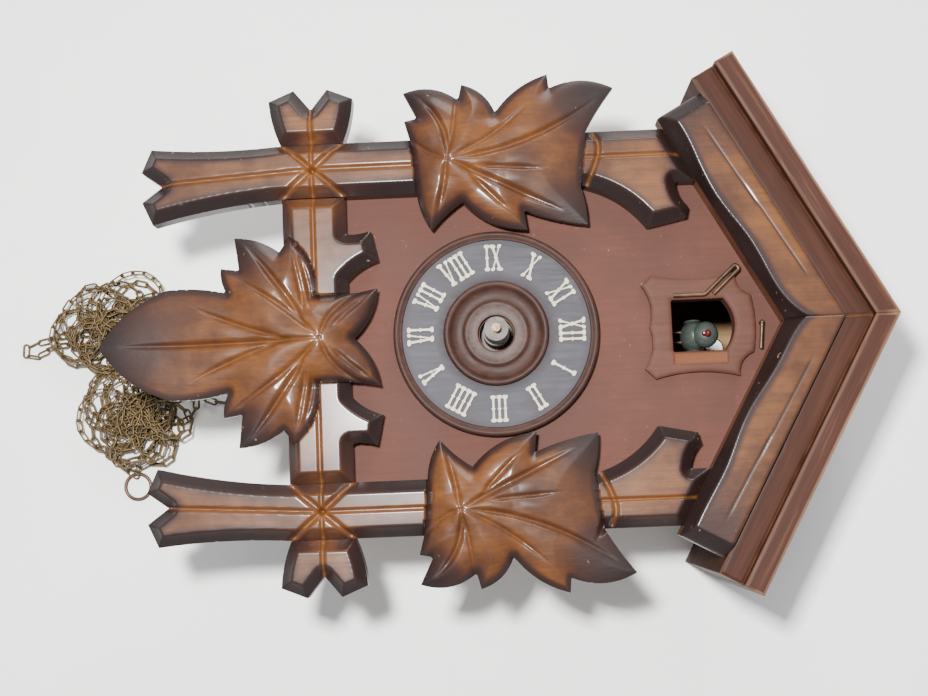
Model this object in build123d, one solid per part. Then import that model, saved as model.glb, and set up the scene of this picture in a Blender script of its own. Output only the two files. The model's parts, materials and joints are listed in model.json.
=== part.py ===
from build123d import *
from math import atan2, cos, pi, radians, sin, tan
import os

# Cuckoo clock lying on its back. Millimetres. X is the clock's right, Y is its up, Z comes out of its face.
# Everything is drawn about the middle of the dial on the back plane, and moved at the end so that the
# origin is the hanging hole in the back board.

# --- case -------------------------------------------------------------------------------------------------
CASE_HALF_W = 68.0        # half of the case's outside width
CASE_BOTTOM = -80.0       # underside of the case
CASE_DEPTH = 88.0         # back plane to the back of the front panel
WALL = 6.0                # side and bottom boards
BACK_T = 4.0              # back board
PANEL_T = 6.0             # front panel
PANEL_HOLE = 2.0          # the hour pipe's hole in the panel is wider than the pipe by this
HANG_Y = 96.0             # hanging hole above the middle of the dial
HANG_R = 4.0
NAIL_R = 1.0
SOUND_HOLE_R = 9.0        # three sound holes in each side board
SOUND_HOLE_GAP = 26.0
SOUND_HOLE_Z = 40.0
NAIL_GAP = 70.0           # between the nails of the back board
JOINT_GAP = 0.1           # between neighbouring boards of the roof

# --- roof -------------------------------------------------------------------------------------------------
PITCH = 29.0              # slope of the roof, degrees
GABLE_Y = 130.0           # underside of the roof boards at the ridge
ROOF_T = 9.6              # roof boards, across the slope
TOP_T = 7.9               # top boards, across the slope
EAVES = 30.0              # reach of the roof boards beyond the case, each side
TOP_OVERHANG = 4.0        # reach of the top boards beyond the roof boards
ROOF_PROUD = 13.0         # roof boards stand this far in front of the panel
TOP_PROUD = 5.0           # top boards stand this far in front of the roof boards
TRIM_W = 18.8             # carved trim, across the slope
TRIM_REACH = 20.0         # reach of the trim beyond the case, each side
TRIM_T = 16.0

# --- carved front -----------------------------------------------------------------------------------------
BRANCH_W = 21.0
BRANCH_T = 12.0
RAIL_INSET = 3.0          # middle of each upright branch, in from the side of the case
LOW_Y = -68.0             # middle of the bottom branch
LOW_W = 24.0
END_DROP = 66.0           # tips of the lower branch ends below the bottom branch
END_LEAN = 3.5            # the lower ends lean in by this
STUB_REACH = 32.0         # tips of the side stubs beyond the upright branch's middle
END_FLARE = 4.2           # extra half width at a cut end
END_CUT = 4.0             # the flare's corners stand back from the tips
NOTCH = 8.0               # depth of the notch in a cut end
LEAF_T = 12.0
LAP = 6.0                 # the leaves are let this far into the branches
FIT = 0.1                 # glue gap around lapped pieces

# --- dial -------------------------------------------------------------------------------------------------
DIAL_R = 39.4
RIM_W = 3.4
RIM_T = 5.2
MOULDING_R = 20.1
MOULDING_BORE = 11.8
DIAL_T = 4.0
NUMERAL_MARGIN = 4.3      # from the moulding to the feet of the numerals
NUMERAL_TALL = 10.0
NUMERAL_T = 1.1
PIPE_R = 4.5              # hour pipe where the hour hand is pushed on
PIPE_SHOULDER = 0.5       # the pipe is thicker by this behind the hand's seat
HAND_SEAT = 13.0          # length of the hour hand's seat
PIPE_PROUD = 19.0         # end of the hour pipe in front of the panel
JOURNAL_R = 1.8           # minute arbor where it runs in the hour pipe
NOSE_R = 1.6              # end of the minute arbor, for the minute hand
NOSE_L = 4.8

# --- door and bird ----------------------------------------------------------------------------------------
DOOR_Y = 79.0             # middle of the door opening
DOOR_HALF_W = 10.0
DOOR_HALF_H = 12.0
ARCH = 4.0                # rise of the arched top of the door opening
PLATE_T = 3.0             # door surround
REBATE_W = 5.5            # ledge beside the opening for the door
REBATE_T = 1.6            # surround left under the ledge
WIRE_R = 0.8
LATCH_R = 0.7
LATCH_L = 10.0
BIRD_ARM = 40.0           # pivot wire to the middle of the bird
BIRD_SWING = 18.0         # half of the carrier's swing, degrees
BIRD_R = 5.0              # girth of the bird's body
CARRIER_R = 1.1           # carrier wire

# --- movement ---------------------------------------------------------------------------------------------
FRONT_ROOM = 8.0          # front plate to the front panel, for the motion work
PLATE_GAP = 34.0          # from one plate's back to the other's
BRASS_T = 1.5
MOVE_MARGIN = 24.0        # from the movement's side to the case's
MOVE_LOW = -52.0
MOVE_HIGH = 52.0
PILLAR_R = 3.0
TENON_R = 1.5
NUT_T = 2.2
ARBOR_R = 1.2
RUN = 0.05                # radial running clearance
GREAT_TEETH, GREAT_M = 72, 0.7
CENTRE_PINION = 12
CENTRE_TEETH, CENTRE_M = 60, 0.6
THIRD_PINION = 8
THIRD_TEETH, THIRD_M = 56, 0.5
ESCAPE_PINION = 8
CANNON, MINUTE_TEETH, MOTION_M = 12, 36, 0.5
MINUTE_PINION, HOUR_TEETH, HOUR_M = 8, 32, 0.6
PIN_PINION = 10
PIN_TEETH, PIN_M = 60, 0.5
WARN_PINION = 8
WARN_TEETH, WARN_M = 50, 0.5
FLY_PINION = 8
CENTRE = (0.0, 0.0)
STRIKE_GREAT = (-20.0, -24.0)
HAMMER = (-36.0, 26.0)
VERGE_RISE = 16.0         # verge above the escape wheel's arbor
BELLOWS_ARBOR_IN = 6.0    # bellows arbors in from the movement's side
BELLOWS_ARBOR_Y = 36.0
SPROCKET_R = 7.0
SPROCKET_HALF_T = 3.2

# --- gong and bellows -------------------------------------------------------------------------------------
GONG = (16.0, -8.0)
GONG_R = 32.0
GONG_RISE = 10.0          # gong above the back board
GONG_HALF_TURNS = 6
GONG_GAP = 6.0            # between neighbouring turns
GONG_WIRE = 1.0
HAMMER_HEAD = 4.0         # radius and length of the hammer's head
WHISTLE_TOP = 40.0
WHISTLE_GAP = 2.5         # from the movement to each whistle box
WHISTLE_WALL = 2.0
WHISTLE_DEPTH = 26.0
FOLD_T = 2.0
FOLDS = 3

# --- chains -----------------------------------------------------------------------------------------------
CHAIN_W = 3.4             # width over a link
STRAND = 9.0              # sprocket middle to the middle of each strand
CHAIN_HOLE_R = 4.5
RING_R = 5.6
RING_WIRE = 0.8
HEAP_H = 13.0

# --- what follows from them -------------------------------------------------------------------------------
slope = radians(PITCH)
inner_w = CASE_HALF_W - WALL
panel_front = CASE_DEPTH + PANEL_T
branch_front = panel_front + BRANCH_T
leaf_back = branch_front - LAP
rail_x = CASE_HALF_W - RAIL_INSET
half = BRANCH_W / 2
low_half = LOW_W / 2
plate_front_z = CASE_DEPTH - FRONT_ROOM
plate_back_z = plate_front_z - PLATE_GAP
arbor_front = plate_front_z + BRASS_T + 0.6
arbor_back = plate_back_z - 0.8
move_half_w = CASE_HALF_W - MOVE_MARGIN
time_chain_z = plate_back_z + 12.0
strike_chain_z = plate_back_z + 22.0
gong_z = BACK_T + GONG_RISE
pipe_end = panel_front + PIPE_PROUD
nodes = {}


def beside(centre, angle, teeth, pinion, module):
    """Middle of a wheel whose pinion meshes with the wheel at centre, at an angle in degrees."""
    reach = (teeth + pinion) * module / 2
    return centre[0] + reach * cos(radians(angle)), centre[1] + reach * sin(radians(angle))


TIME_GREAT = beside(CENTRE, -61.55, GREAT_TEETH, CENTRE_PINION, GREAT_M)
THIRD = beside(CENTRE, 60.0, CENTRE_TEETH, THIRD_PINION, CENTRE_M)
ESCAPE = beside(THIRD, 129.57, THIRD_TEETH, ESCAPE_PINION, THIRD_M)
VERGE = (ESCAPE[0], ESCAPE[1] + VERGE_RISE)
MINUTE_STUD = beside(CENTRE, -45.0, CANNON, MINUTE_TEETH, MOTION_M)
PIN_WHEEL = beside(STRIKE_GREAT, 100.0, GREAT_TEETH, PIN_PINION, GREAT_M)
WARNING = beside(PIN_WHEEL, 72.9, PIN_TEETH, WARN_PINION, PIN_M)
FLY = beside(WARNING, 65.6, WARN_TEETH, FLY_PINION, WARN_M)
BELLOWS_ARBOR = (move_half_w - BELLOWS_ARBOR_IN, BELLOWS_ARBOR_Y)


# --- helpers ----------------------------------------------------------------------------------------------
def block(x0, x1, y0, y1, z0, z1):
    """A box between two corners."""
    return Pos((x0 + x1) / 2, (y0 + y1) / 2, (z0 + z1) / 2) * Box(abs(x1 - x0), abs(y1 - y0), abs(z1 - z0))


def disc(x, y, z0, z1, r):
    """A round bar along Z."""
    return Pos(x, y, (z0 + z1) / 2) * Cylinder(r, z1 - z0)


def tube(x, y, z0, z1, r_out, r_in):
    return disc(x, y, z0, z1, r_out) - disc(x, y, z0 - 1, z1 + 1, r_in)


def rod(a, b, r):
    """A round bar from point a to point b."""
    a, b = Vector(*a), Vector(*b)
    return Solid.extrude(Face(Wire(Edge.make_circle(r, Plane(a, z_dir=b - a)))), b - a)


def group(shapes):
    """Several solids in one node."""
    return Compound([solid for shape in shapes for solid in shape.solids()])


def prism(points, z0, z1):
    """A straight-sided outline, extruded."""
    return Pos(0, 0, z0) * extrude(make_face(Polyline(*points, close=True)), z1 - z0)


def outline(points, z0, z1):
    """An outline of (x, y, bulge): bulge is the sagitta of the arc to the next point, 0 for a straight run."""
    edges = []
    for i, (x, y, bulge) in enumerate(points):
        nx, ny, _ = points[(i + 1) % len(points)]
        if bulge:
            edges.append(SagittaArc((x, y), (nx, ny), bulge))
        else:
            edges.append(Line((x, y), (nx, ny)))
    return Pos(0, 0, z0) * extrude(make_face(edges), z1 - z0)


def wire_path(points, radii):
    if isinstance(radii, (int, float)):
        radii = [radii] * (len(points) - 2)
    return FilletPolyline(*points, radius=radii)


def bent_wire(points, radius, r):
    """A round wire through the points, bent at each corner."""
    path = wire_path(points, radius)
    return sweep(Plane(path @ 0, z_dir=path % 0) * Circle(r), path=path)


def roof_y(x, top):
    """Height of the roof line that meets the ridge at top, at x."""
    return top - abs(x) * tan(slope)


def slope_strip(side, top, across, half_w, z0, z1, gap=0.0):
    """A board along one slope of the roof: its outer line meets the ridge at top, its end is cut square."""
    low = top - across / cos(slope)
    ox, oy = half_w, roof_y(half_w, top)
    ix, iy = ox - across * sin(slope), oy - across * cos(slope)
    points = [(gap, top), (ox, oy), (ix, iy), (gap, low)]
    return prism([(side * x, y) for x, y in points], z0, z1)


def under_roof(half_w, y0, top, z0, z1):
    """The gabled outline of the case between two depths."""
    return prism([(-half_w, y0), (half_w, y0), (half_w, roof_y(half_w, top)), (0, top),
                  (-half_w, roof_y(half_w, top))], z0, z1)


# --- gears ------------------------------------------------------------------------------------------------
def gear(centre, teeth, module, z0, z1, phase=0.0, bore=0.0):
    """A clock wheel with slim straight-flanked teeth. phase is the angle of one tooth."""
    x, y = centre
    r = teeth * module / 2
    pitch = 2 * pi / teeth
    ring = []
    for k in range(teeth):
        a = phase + k * pitch
        for da, rr in ((-0.21, r - 0.95 * module), (-0.12, r + 0.6 * module), (0.12, r + 0.6 * module),
                       (0.21, r - 0.95 * module)):
            ring.append((x + rr * cos(a + da * pitch), y + rr * sin(a + da * pitch)))
    blank = prism(ring, z0, z1)
    return blank - disc(x, y, z0 - 1, z1 + 1, bore) if bore else blank


def mesh(driver, teeth, phase, follower, follower_teeth):
    """Phase of a follower whose gap faces the driver's tooth on the line between them."""
    a = atan2(follower[1] - driver[1], follower[0] - driver[0])
    share = ((a - phase) / (2 * pi / teeth)) % 1.0
    return a + pi + (share + 0.5) * 2 * pi / follower_teeth


def crossed(blank, centre, z0, z1, r_in, r_out, arms=5, arm_w=2.4):
    """Cut the windows between a wheel's arms."""
    windows = tube(*centre, z0 - 1, z1 + 1, r_out, r_in)
    for k in range(arms):
        bar = Pos(*centre, (z0 + z1) / 2) * Rot(0, 0, 360 / arms * k) * Pos(r_out / 2, 0, 0) * \
            Box(r_out + 2, arm_w, z1 - z0 + 4)
        windows -= bar
    return blank - windows


def wheel(centre, teeth, module, z, thick, hub_r, rim_r):
    """A crossed-out wheel."""
    return crossed(gear(centre, teeth, module, z, z + thick), centre, z, z + thick, hub_r, rim_r)


def arbor(centre, z0=arbor_back, z1=arbor_front, r=ARBOR_R):
    return disc(*centre, z0, z1, r)


def sprocket(centre, z):
    """A grooved chain wheel with ten teeth."""
    body = disc(*centre, z - SPROCKET_HALF_T, z + SPROCKET_HALF_T, SPROCKET_R)
    groove = tube(*centre, z - 1.5, z + 1.5, SPROCKET_R + 1, SPROCKET_R - 2.2)
    body -= groove
    for k in range(10):
        spike = Pos(*centre, z) * Rot(0, 0, 36 * k) * Pos(SPROCKET_R - 1.6, 0, 0) * Box(2.6, 1.0, 2.0)
        body += spike
    return body


# --- case -------------------------------------------------------------------------------------------------
back = under_roof(CASE_HALF_W, CASE_BOTTOM, GABLE_Y, 0, BACK_T)
back -= disc(0, HANG_Y, -1, BACK_T + 1, HANG_R)
nail_spots = [(s * (CASE_HALF_W - WALL / 2), y) for s in (-1, 1) for y in (-NAIL_GAP, 0, NAIL_GAP)]
nails = [disc(x, y, 0, BACK_T, NAIL_R) for x, y in nail_spots]
for x, y in nail_spots:
    back -= disc(x, y, -1, BACK_T + 1, NAIL_R + FIT / 2)
nodes["back_board"] = back
nodes["back_nails"] = group(nails)

for side, name in ((-1, "left_side"), (1, "right_side")):
    shell = under_roof(CASE_HALF_W, CASE_BOTTOM, GABLE_Y, BACK_T, CASE_DEPTH)
    wall = shell & block(side * inner_w, side * (CASE_HALF_W + 1), CASE_BOTTOM, GABLE_Y, BACK_T, CASE_DEPTH)
    for dy in (-SOUND_HOLE_GAP, 0, SOUND_HOLE_GAP):
        wall -= Pos(side * (inner_w + WALL / 2), dy, SOUND_HOLE_Z) * Rot(0, 90, 0) * Cylinder(SOUND_HOLE_R, WALL + 2)
    nodes[name] = wall

bottom = block(-inner_w, inner_w, CASE_BOTTOM, CASE_BOTTOM + WALL, BACK_T, CASE_DEPTH)
strands = {}
for chain, great, z in (("time", TIME_GREAT, time_chain_z), ("strike", STRIKE_GREAT, strike_chain_z)):
    for end, s in (("ring", 1), ("hook", -1)):
        strands[chain, end] = (great[0] + s * STRAND, z)
for x, z in strands.values():
    bottom -= Pos(x, CASE_BOTTOM + WALL / 2, z) * Rot(90, 0, 0) * Cylinder(CHAIN_HOLE_R, WALL + 2)
SLOT_HALF_W = 16.0         # slot that the pendulum swings in
SLOT_DEPTH = 18.0
slot_back = plate_back_z - SLOT_DEPTH
bottom -= block(-SLOT_HALF_W, SLOT_HALF_W, CASE_BOTTOM - 1, CASE_BOTTOM + WALL + 1, slot_back, plate_back_z)
nodes["bottom_board"] = bottom

panel = under_roof(CASE_HALF_W, CASE_BOTTOM, GABLE_Y, CASE_DEPTH, panel_front)
panel -= disc(0, 0, CASE_DEPTH - 1, panel_front + 1, PIPE_R + PANEL_HOLE)


def door_hole(z0, z1, grow=0.0):
    """The arched door opening."""
    w = DOOR_HALF_W + grow
    low = DOOR_Y - DOOR_HALF_H - grow
    high = DOOR_Y + DOOR_HALF_H + grow
    return outline([(-w, low, 0), (w, low, 0), (w, high - ARCH, -ARCH), (-w, high - ARCH, 0)], z0, z1)


panel -= door_hole(CASE_DEPTH - 1, panel_front + 1)
nodes["front_panel"] = panel

# --- roof -------------------------------------------------------------------------------------------------
roof_top = GABLE_Y + ROOF_T / cos(slope)
cap_top = roof_top + TOP_T / cos(slope)
half_gap = JOINT_GAP / 2
roof_half_w = CASE_HALF_W + EAVES
roof_front = panel_front + ROOF_PROUD
trim_half_w = CASE_HALF_W + TRIM_REACH
for side, name in ((-1, "left"), (1, "right")):
    nodes[name + "_roof"] = slope_strip(side, roof_top, ROOF_T, roof_half_w, 0, roof_front, half_gap)
    nodes[name + "_roof_top"] = slope_strip(side, cap_top, TOP_T, roof_half_w + TOP_OVERHANG, 0,
                                            roof_front + TOP_PROUD, half_gap)
    nodes[name + "_trim"] = slope_strip(side, GABLE_Y, TRIM_W, trim_half_w, panel_front, panel_front + TRIM_T,
                                        half_gap)
trim_low = GABLE_Y - TRIM_W / cos(slope)

# --- carved front -----------------------------------------------------------------------------------------
# Right-hand leaf: x from the middle of its upright branch. The left-hand one is its mirror image.
SIDE_LEAF = [
    (28.5, -32.0, -3.0), (25.0, -11.0, 0.0), (31.0, -9.5, -2.2), (19.5, 3.0, -2.2), (33.5, 23.5, 0.0),
    (28.0, 24.0, -3.0), (27.0, 48.5, 0.4), (11.0, 37.5, 0.0), (-11.0, 34.5, -0.6), (-25.5, 36.5, -0.8),
    (-19.0, 12.5, 0.0), (-26.5, 13.5, -3.0), (-14.5, -11.0, 0.6), (-25.0, -23.0, -1.0),
    (-11.5, -28.0, 0.0), (10.0, -30.0, 0.0), (17.5, -32.0, 0.0), (18.5, -27.0, 0.0),
]
# Right half of the bottom leaf: y from the middle of the bottom branch.
LOW_LEAF_HALF = [
    (0.0, 14.0, 2.0), (18.5, 23.5, -1.0), (17.0, 0.0, 3.6), (39.5, -9.5, 0.0), (34.0, -13.5, 1.5),
    (40.0, -30.5, 0.0), (27.5, -29.0, 0.0), (28.5, -36.0, 0.8), (19.0, -34.0, 1.0), (21.0, -57.0, 3.0),
]
LEAF_TIP = (0.0, -83.5)


def shifted(points, dx=0.0, dy=0.0):
    return [(x + dx, y + dy, bulge) for x, y, bulge in points]


def both_halves(points, z0, z1):
    """A leaf drawn as its right half, from the notch at its top down to its tip."""
    right = outline(points, z0, z1)
    return right + mirror(right, about=Plane.YZ)


leaf_front = leaf_back + LEAF_T
right_leaf = outline(shifted(SIDE_LEAF, dx=rail_x), leaf_back, leaf_front)
side_leaf = {1: right_leaf, -1: mirror(right_leaf, about=Plane.YZ)}
low_leaf = both_halves(shifted(LOW_LEAF_HALF + [(*LEAF_TIP, 0.0)], dy=LOW_Y), leaf_back, leaf_front)
nodes["left_leaf"] = side_leaf[-1]
nodes["right_leaf"] = side_leaf[1]
nodes["bottom_leaf"] = low_leaf


def fishtail(x, y, direction, half_w):
    """End of a branch at (x, y): two tips with a notch between, heading along direction."""
    dx, dy = direction
    nx, ny = -dy, dx
    wide = half_w + END_FLARE
    local = [(-END_CUT, wide), (0, wide * 0.4), (-NOTCH, 0), (0, -wide * 0.4), (-END_CUT, -wide)]
    return [(x + u * dx + v * nx, y + u * dy + v * ny) for u, v in local]


under_trim = trim_low - FIT
rail_in = rail_x - half
rail_out = rail_x + half
right_end = fishtail(rail_x - END_LEAN, LOW_Y - END_DROP, (0, -1), half)
upright = [(rail_in, roof_y(rail_in, under_trim)), (rail_in, LOW_Y - low_half)] + right_end[::-1] + \
    [(rail_out, LOW_Y - low_half), (rail_out, roof_y(rail_out, under_trim))]
stub_end = fishtail(rail_x + STUB_REACH, LOW_Y, (1, 0), low_half)
stub = [(rail_out + FIT, LOW_Y - low_half)] + stub_end[::-1] + [(rail_out + FIT, LOW_Y + low_half)]
# Forked twig below the roof and the small twig on the bottom branch, both growing towards the middle.
# x from the inner edge of the upright branch, and the twig's y from the top of the bottom branch.
FORK = [(0.1, 36.0, -2.5), (-16.5, 59.5, 0.0), (-13.5, 74.0, 0.0), (-9.5, 75.0, -1.0), (0.1, 70.0, 0.0)]
TWIG = [(-32.5, -0.1, -1.0), (-25.0, 12.0, 0.0), (-13.5, 9.5, -0.6), (-14.5, -0.1, 0.0)]

stubs = []
inner = rail_in - FIT
cross_bar = block(-inner, inner, LOW_Y - low_half, LOW_Y + low_half, panel_front, branch_front)
for side, name in ((-1, "left"), (1, "right")):
    bar = prism([(side * x, y) for x, y in upright], panel_front, branch_front)
    fork = outline(shifted(FORK, dx=rail_in), panel_front, branch_front)
    twig = outline(shifted(TWIG, dx=rail_in, dy=LOW_Y + low_half), panel_front, branch_front)
    if side < 0:
        fork = mirror(fork, about=Plane.YZ)
        twig = mirror(twig, about=Plane.YZ)
    nodes[name + "_branch"] = bar + fork - side_leaf[side]
    cross_bar += twig
    stubs.append(prism([(side * x, y) for x, y in stub], panel_front, branch_front))
nodes["bottom_branch"] = cross_bar - low_leaf
nodes["branch_stubs"] = group(stubs)

# --- dial -------------------------------------------------------------------------------------------------
dial_z = panel_front
rim_in = DIAL_R - RIM_W
profile = make_face(Polyline((rim_in, dial_z), (DIAL_R, dial_z), (DIAL_R, dial_z + 3.5),
                             (DIAL_R - 1, dial_z + RIM_T), (rim_in + 0.8, dial_z + RIM_T), (rim_in, dial_z + DIAL_T),
                             close=True))
nodes["dial_rim"] = revolve(Plane.XZ * profile, Axis.Z)
nodes["chapter_ring"] = tube(0, 0, dial_z, dial_z + DIAL_T, rim_in - FIT / 2, MOULDING_R + FIT / 2)
washer_in = PIPE_R + PANEL_HOLE + 0.5
washer_top = dial_z + 1.5
moulding = make_face(Polyline((washer_in, dial_z), (MOULDING_R, dial_z), (MOULDING_R, dial_z + 5),
                              (MOULDING_R - 2, dial_z + 6), (MOULDING_R - 4, dial_z + 4.6),
                              (MOULDING_BORE + 1.2, dial_z + 3.8), (MOULDING_BORE, dial_z + 3),
                              (MOULDING_BORE, washer_top), (washer_in, washer_top), close=True))
nodes["centre_moulding"] = revolve(Plane.XZ * moulding, Axis.Z)


# Width of each letter, how far its strokes lean, and how thick they are.
LETTERS = {"I": (2.5, 0.0, 1.2, 1.2), "V": (5.2, 1.5, 1.3, 0.7), "X": (5.2, 1.6, 1.3, 0.7)}
SERIF = 0.8


def numeral(text, hour):
    """An applied roman numeral with serifs, its feet towards the middle."""
    mid = MOULDING_R + NUMERAL_MARGIN + NUMERAL_TALL / 2
    tall = NUMERAL_TALL
    total = sum(LETTERS[c][0] for c in text)
    u = -total / 2
    solid = None
    for c in text:
        width, lean, thick, thin = LETTERS[c]
        m = u + width / 2
        strokes = {"I": [(m, m, thick)], "V": [(m - lean, m, thick), (m + lean, m, thin)],
                   "X": [(m - lean, m + lean, thick), (m + lean, m - lean, thin)]}[c]
        for top, foot, wide in strokes:
            t = wide / 2
            bar = prism([(foot - t, -tall / 2), (foot + t, -tall / 2), (top + t, tall / 2), (top - t, tall / 2)],
                        0, NUMERAL_T)
            solid = bar if solid is None else solid + bar
        u += width
    for end in (-1, 1):
        wide = total / 2 + 0.1
        solid += block(-wide, wide, end * tall / 2 - SERIF / 2, end * tall / 2 + SERIF / 2, 0, NUMERAL_T)
    return Rot(0, 0, -30 * hour) * Pos(0, mid, dial_z + DIAL_T) * solid


names = ["I", "II", "III", "IIII", "V", "VI", "VII", "VIII", "IX", "X", "XI", "XII"]
nodes["numerals"] = group([numeral(t, h + 1) for h, t in enumerate(names)])

# --- door surround, hinge wire, latch ---------------------------------------------------------------------
w, h = DOOR_HALF_W, DOOR_HALF_H
surround_front = panel_front + PLATE_T
low_y = DOOR_Y - h
high_y = DOOR_Y + h
shield = [(0.0, low_y - 8.5, 2.0), (w + 6, low_y - 11, 0.0), (w + 10, low_y - 7, 2.2), (w + 10, high_y + 1, 2.0),
          (w + 1, high_y + 6.5, -1.2), (-w - 1, high_y + 6.5, 2.0), (-w - 10, high_y + 1, 2.2),
          (-w - 10, low_y - 7, 0.0), (-w - 6, low_y - 11, 2.0)]
surround = outline(shield, panel_front, surround_front)
surround -= door_hole(panel_front - 1, surround_front + 1)
surround -= block(w - 1, w + REBATE_W, low_y, high_y - 2, panel_front + REBATE_T, surround_front + 1)
nodes["door_surround"] = surround
wire_z = surround_front + WIRE_R + 0.1
pin_x = -w - 1.5
nodes["door_hinge_wire"] = bent_wire([(pin_x, low_y + 1, wire_z), (pin_x, DOOR_Y + 1, wire_z),
                                      (pin_x - 11, DOOR_Y + 13, wire_z), (pin_x - 9.5, DOOR_Y + 14.6, wire_z),
                                      (pin_x, DOOR_Y + 4.2, wire_z)], [2, 0.9, 0.9], WIRE_R)
latch_y = high_y + 10
latch_z = surround_front + LATCH_R + 0.2
latch_depth = 3.0
latch = disc(0, latch_y, panel_front - latch_depth, latch_z, LATCH_R)
latch += rod((0, latch_y, latch_z), (LATCH_L, latch_y - 1, latch_z), LATCH_R) + \
    Pos(0, latch_y, latch_z) * Sphere(LATCH_R + 0.2)
nodes["door_latch"] = latch
nodes["front_panel"] -= disc(0, latch_y, panel_front - latch_depth - 0.1, panel_front + 1, LATCH_R + RUN)

# --- bird and its carrier ---------------------------------------------------------------------------------
pivot_x = BIRD_ARM
pivot_z = CASE_DEPTH - 4
swing = radians(BIRD_SWING)
bird_x = pivot_x - BIRD_ARM * cos(swing)
bird_z = pivot_z - BIRD_ARM * sin(swing)
bird_y = DOOR_Y
arm_y = low_y + 2.0
post_low = low_y - 10
body = Pos(bird_x, bird_y - 1, bird_z) * scale(Sphere(BIRD_R), (1.0, 1.0, 1.7))
head = Pos(bird_x, bird_y + 4.2, bird_z + 7.0) * Sphere(4.2)
beak_top = Pos(bird_x, bird_y + 5.0, bird_z + 12.2) * Rot(-8, 0, 0) * Cone(1.7, 0.3, 4.0)
tail = Pos(bird_x, bird_y - 1.5, bird_z - 9.5) * Box(BIRD_R, 1.6, 6)
bird = body + head + beak_top + tail
for s in (-1, 1):
    bird += Pos(bird_x + s * (BIRD_R - 0.1), bird_y - 1, bird_z - 1) * scale(Sphere(4.2), (0.2, 0.8, 1.6))
nodes["bird_beak"] = Pos(bird_x, bird_y + 1.8, bird_z + 12.6) * Rot(12, 0, 0) * Cone(1.3, 0.3, 3.4)


def swung_in(out, forward):
    """A point of the carrier, given where it is when the bird is out, put where it is at rest."""
    turn = -2 * swing
    return (pivot_x - out * cos(turn) + forward * sin(turn), arm_y, pivot_z + out * sin(turn) + forward * cos(turn))


# With the bird out, the wire runs behind the panel to the opening, turns forward through it, and then across
# under the bird.
crank = DOOR_HALF_W - 2 * CARRIER_R - 1.3
crank_out = pivot_x - crank
bird_forward = BIRD_ARM * sin(swing)
arm = bent_wire([swung_in(0, 0), swung_in(crank_out, 0), swung_in(crank_out + 2, bird_forward),
                 swung_in(pivot_x - bird_x + 3, bird_forward)], [2.5, 1.2], CARRIER_R)
feet = [rod((bird_x + s * 2, arm_y, bird_z), (bird_x + s * 2, bird_y - BIRD_R + 0.4, bird_z), 0.6) for s in (-1, 1)]
hub_bore = Pos(pivot_x, arm_y, pivot_z) * Rot(90, 0, 0) * Cylinder(ARBOR_R + RUN, 10)
hub = Pos(pivot_x, arm_y, pivot_z) * Rot(90, 0, 0) * Cylinder(ARBOR_R + 1, 8)
nodes["bird_carrier"] = hub + arm + feet[0] + feet[1] - hub_bore
nodes["bird_body"] = bird - feet[0] - feet[1]
post = Pos(pivot_x, (post_low + bird_y) / 2 - 1, pivot_z) * Rot(90, 0, 0) * Cylinder(ARBOR_R, bird_y - post_low)
bracket = block(pivot_x - 5, pivot_x + 5, post_low - 3, post_low - 1, pivot_z - 4, CASE_DEPTH)
nodes["bird_bracket"] = bracket + post

# --- movement plates --------------------------------------------------------------------------------------
holes = [CENTRE, TIME_GREAT, THIRD, ESCAPE, VERGE, STRIKE_GREAT, PIN_WHEEL, WARNING, FLY, HAMMER,
         BELLOWS_ARBOR, (-BELLOWS_ARBOR[0], BELLOWS_ARBOR[1])]
corners = [(s * (move_half_w - 5), y) for s in (-1, 1) for y in (MOVE_LOW + 5, MOVE_HIGH - 5)]
for name, z in (("back_plate", plate_back_z), ("front_plate", plate_front_z)):
    plate = block(-move_half_w, move_half_w, MOVE_LOW, MOVE_HIGH, z, z + BRASS_T)
    for x, y in holes:
        plate -= disc(x, y, z - 1, z + BRASS_T + 1, ARBOR_R + RUN)
    for x, y in corners:
        plate -= disc(x, y, z - 1, z + BRASS_T + 1, TENON_R + RUN)
    nodes[name] = plate
face = plate_front_z + BRASS_T
nodes["front_plate"] += disc(*MINUTE_STUD, face - 0.5, face + 5.7, ARBOR_R)
pillars = []
nuts = []
for x, y in corners:
    post = disc(x, y, plate_back_z + BRASS_T, plate_front_z, PILLAR_R)
    post += disc(x, y, plate_back_z, face + NUT_T, TENON_R)
    pillars.append(post)
    nut = Pos(x, y, face) * extrude(RegularPolygon(2 * TENON_R, 6), NUT_T)
    nuts.append(nut - disc(x, y, plate_front_z, face + NUT_T + 1, TENON_R + RUN))
nodes["pillars"] = group(pillars + nuts)
SEAT_T = 8.0
SEAT_BACK = 12.0          # seat board behind the back plate
CHAIN_SLOT = 4.0
seat = block(-inner_w, inner_w, MOVE_LOW - SEAT_T, MOVE_LOW, plate_back_z - SEAT_BACK, plate_back_z + 4)
seat -= block(-SLOT_HALF_W, SLOT_HALF_W, MOVE_LOW - SEAT_T - 1, MOVE_LOW + 1, slot_back, plate_back_z)
for x, z in strands.values():
    seat -= block(x - CHAIN_SLOT, x + CHAIN_SLOT, MOVE_LOW - SEAT_T - 1, MOVE_LOW + 1, z - CHAIN_SLOT, z + CHAIN_SLOT)
nodes["seat_board"] = seat

# --- time train -------------------------------------------------------------------------------------------
# How far in front of the back plate each wheel and pinion lies.
GREAT_Z = plate_back_z + 4.0
CENTRE_PINION_Z = plate_back_z + 3.0
CENTRE_WHEEL_Z = plate_back_z + 19.8
THIRD_PINION_Z = plate_back_z + 18.8
THIRD_WHEEL_Z = plate_back_z + 26.0
ESCAPE_PINION_Z = plate_back_z + 25.0
ESCAPE_WHEEL_Z = plate_back_z + 30.4
GREAT_T = 2.0
WHEEL_T = 1.5
THIN_WHEEL_T = 1.2
PINION_T = 3.6

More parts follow.
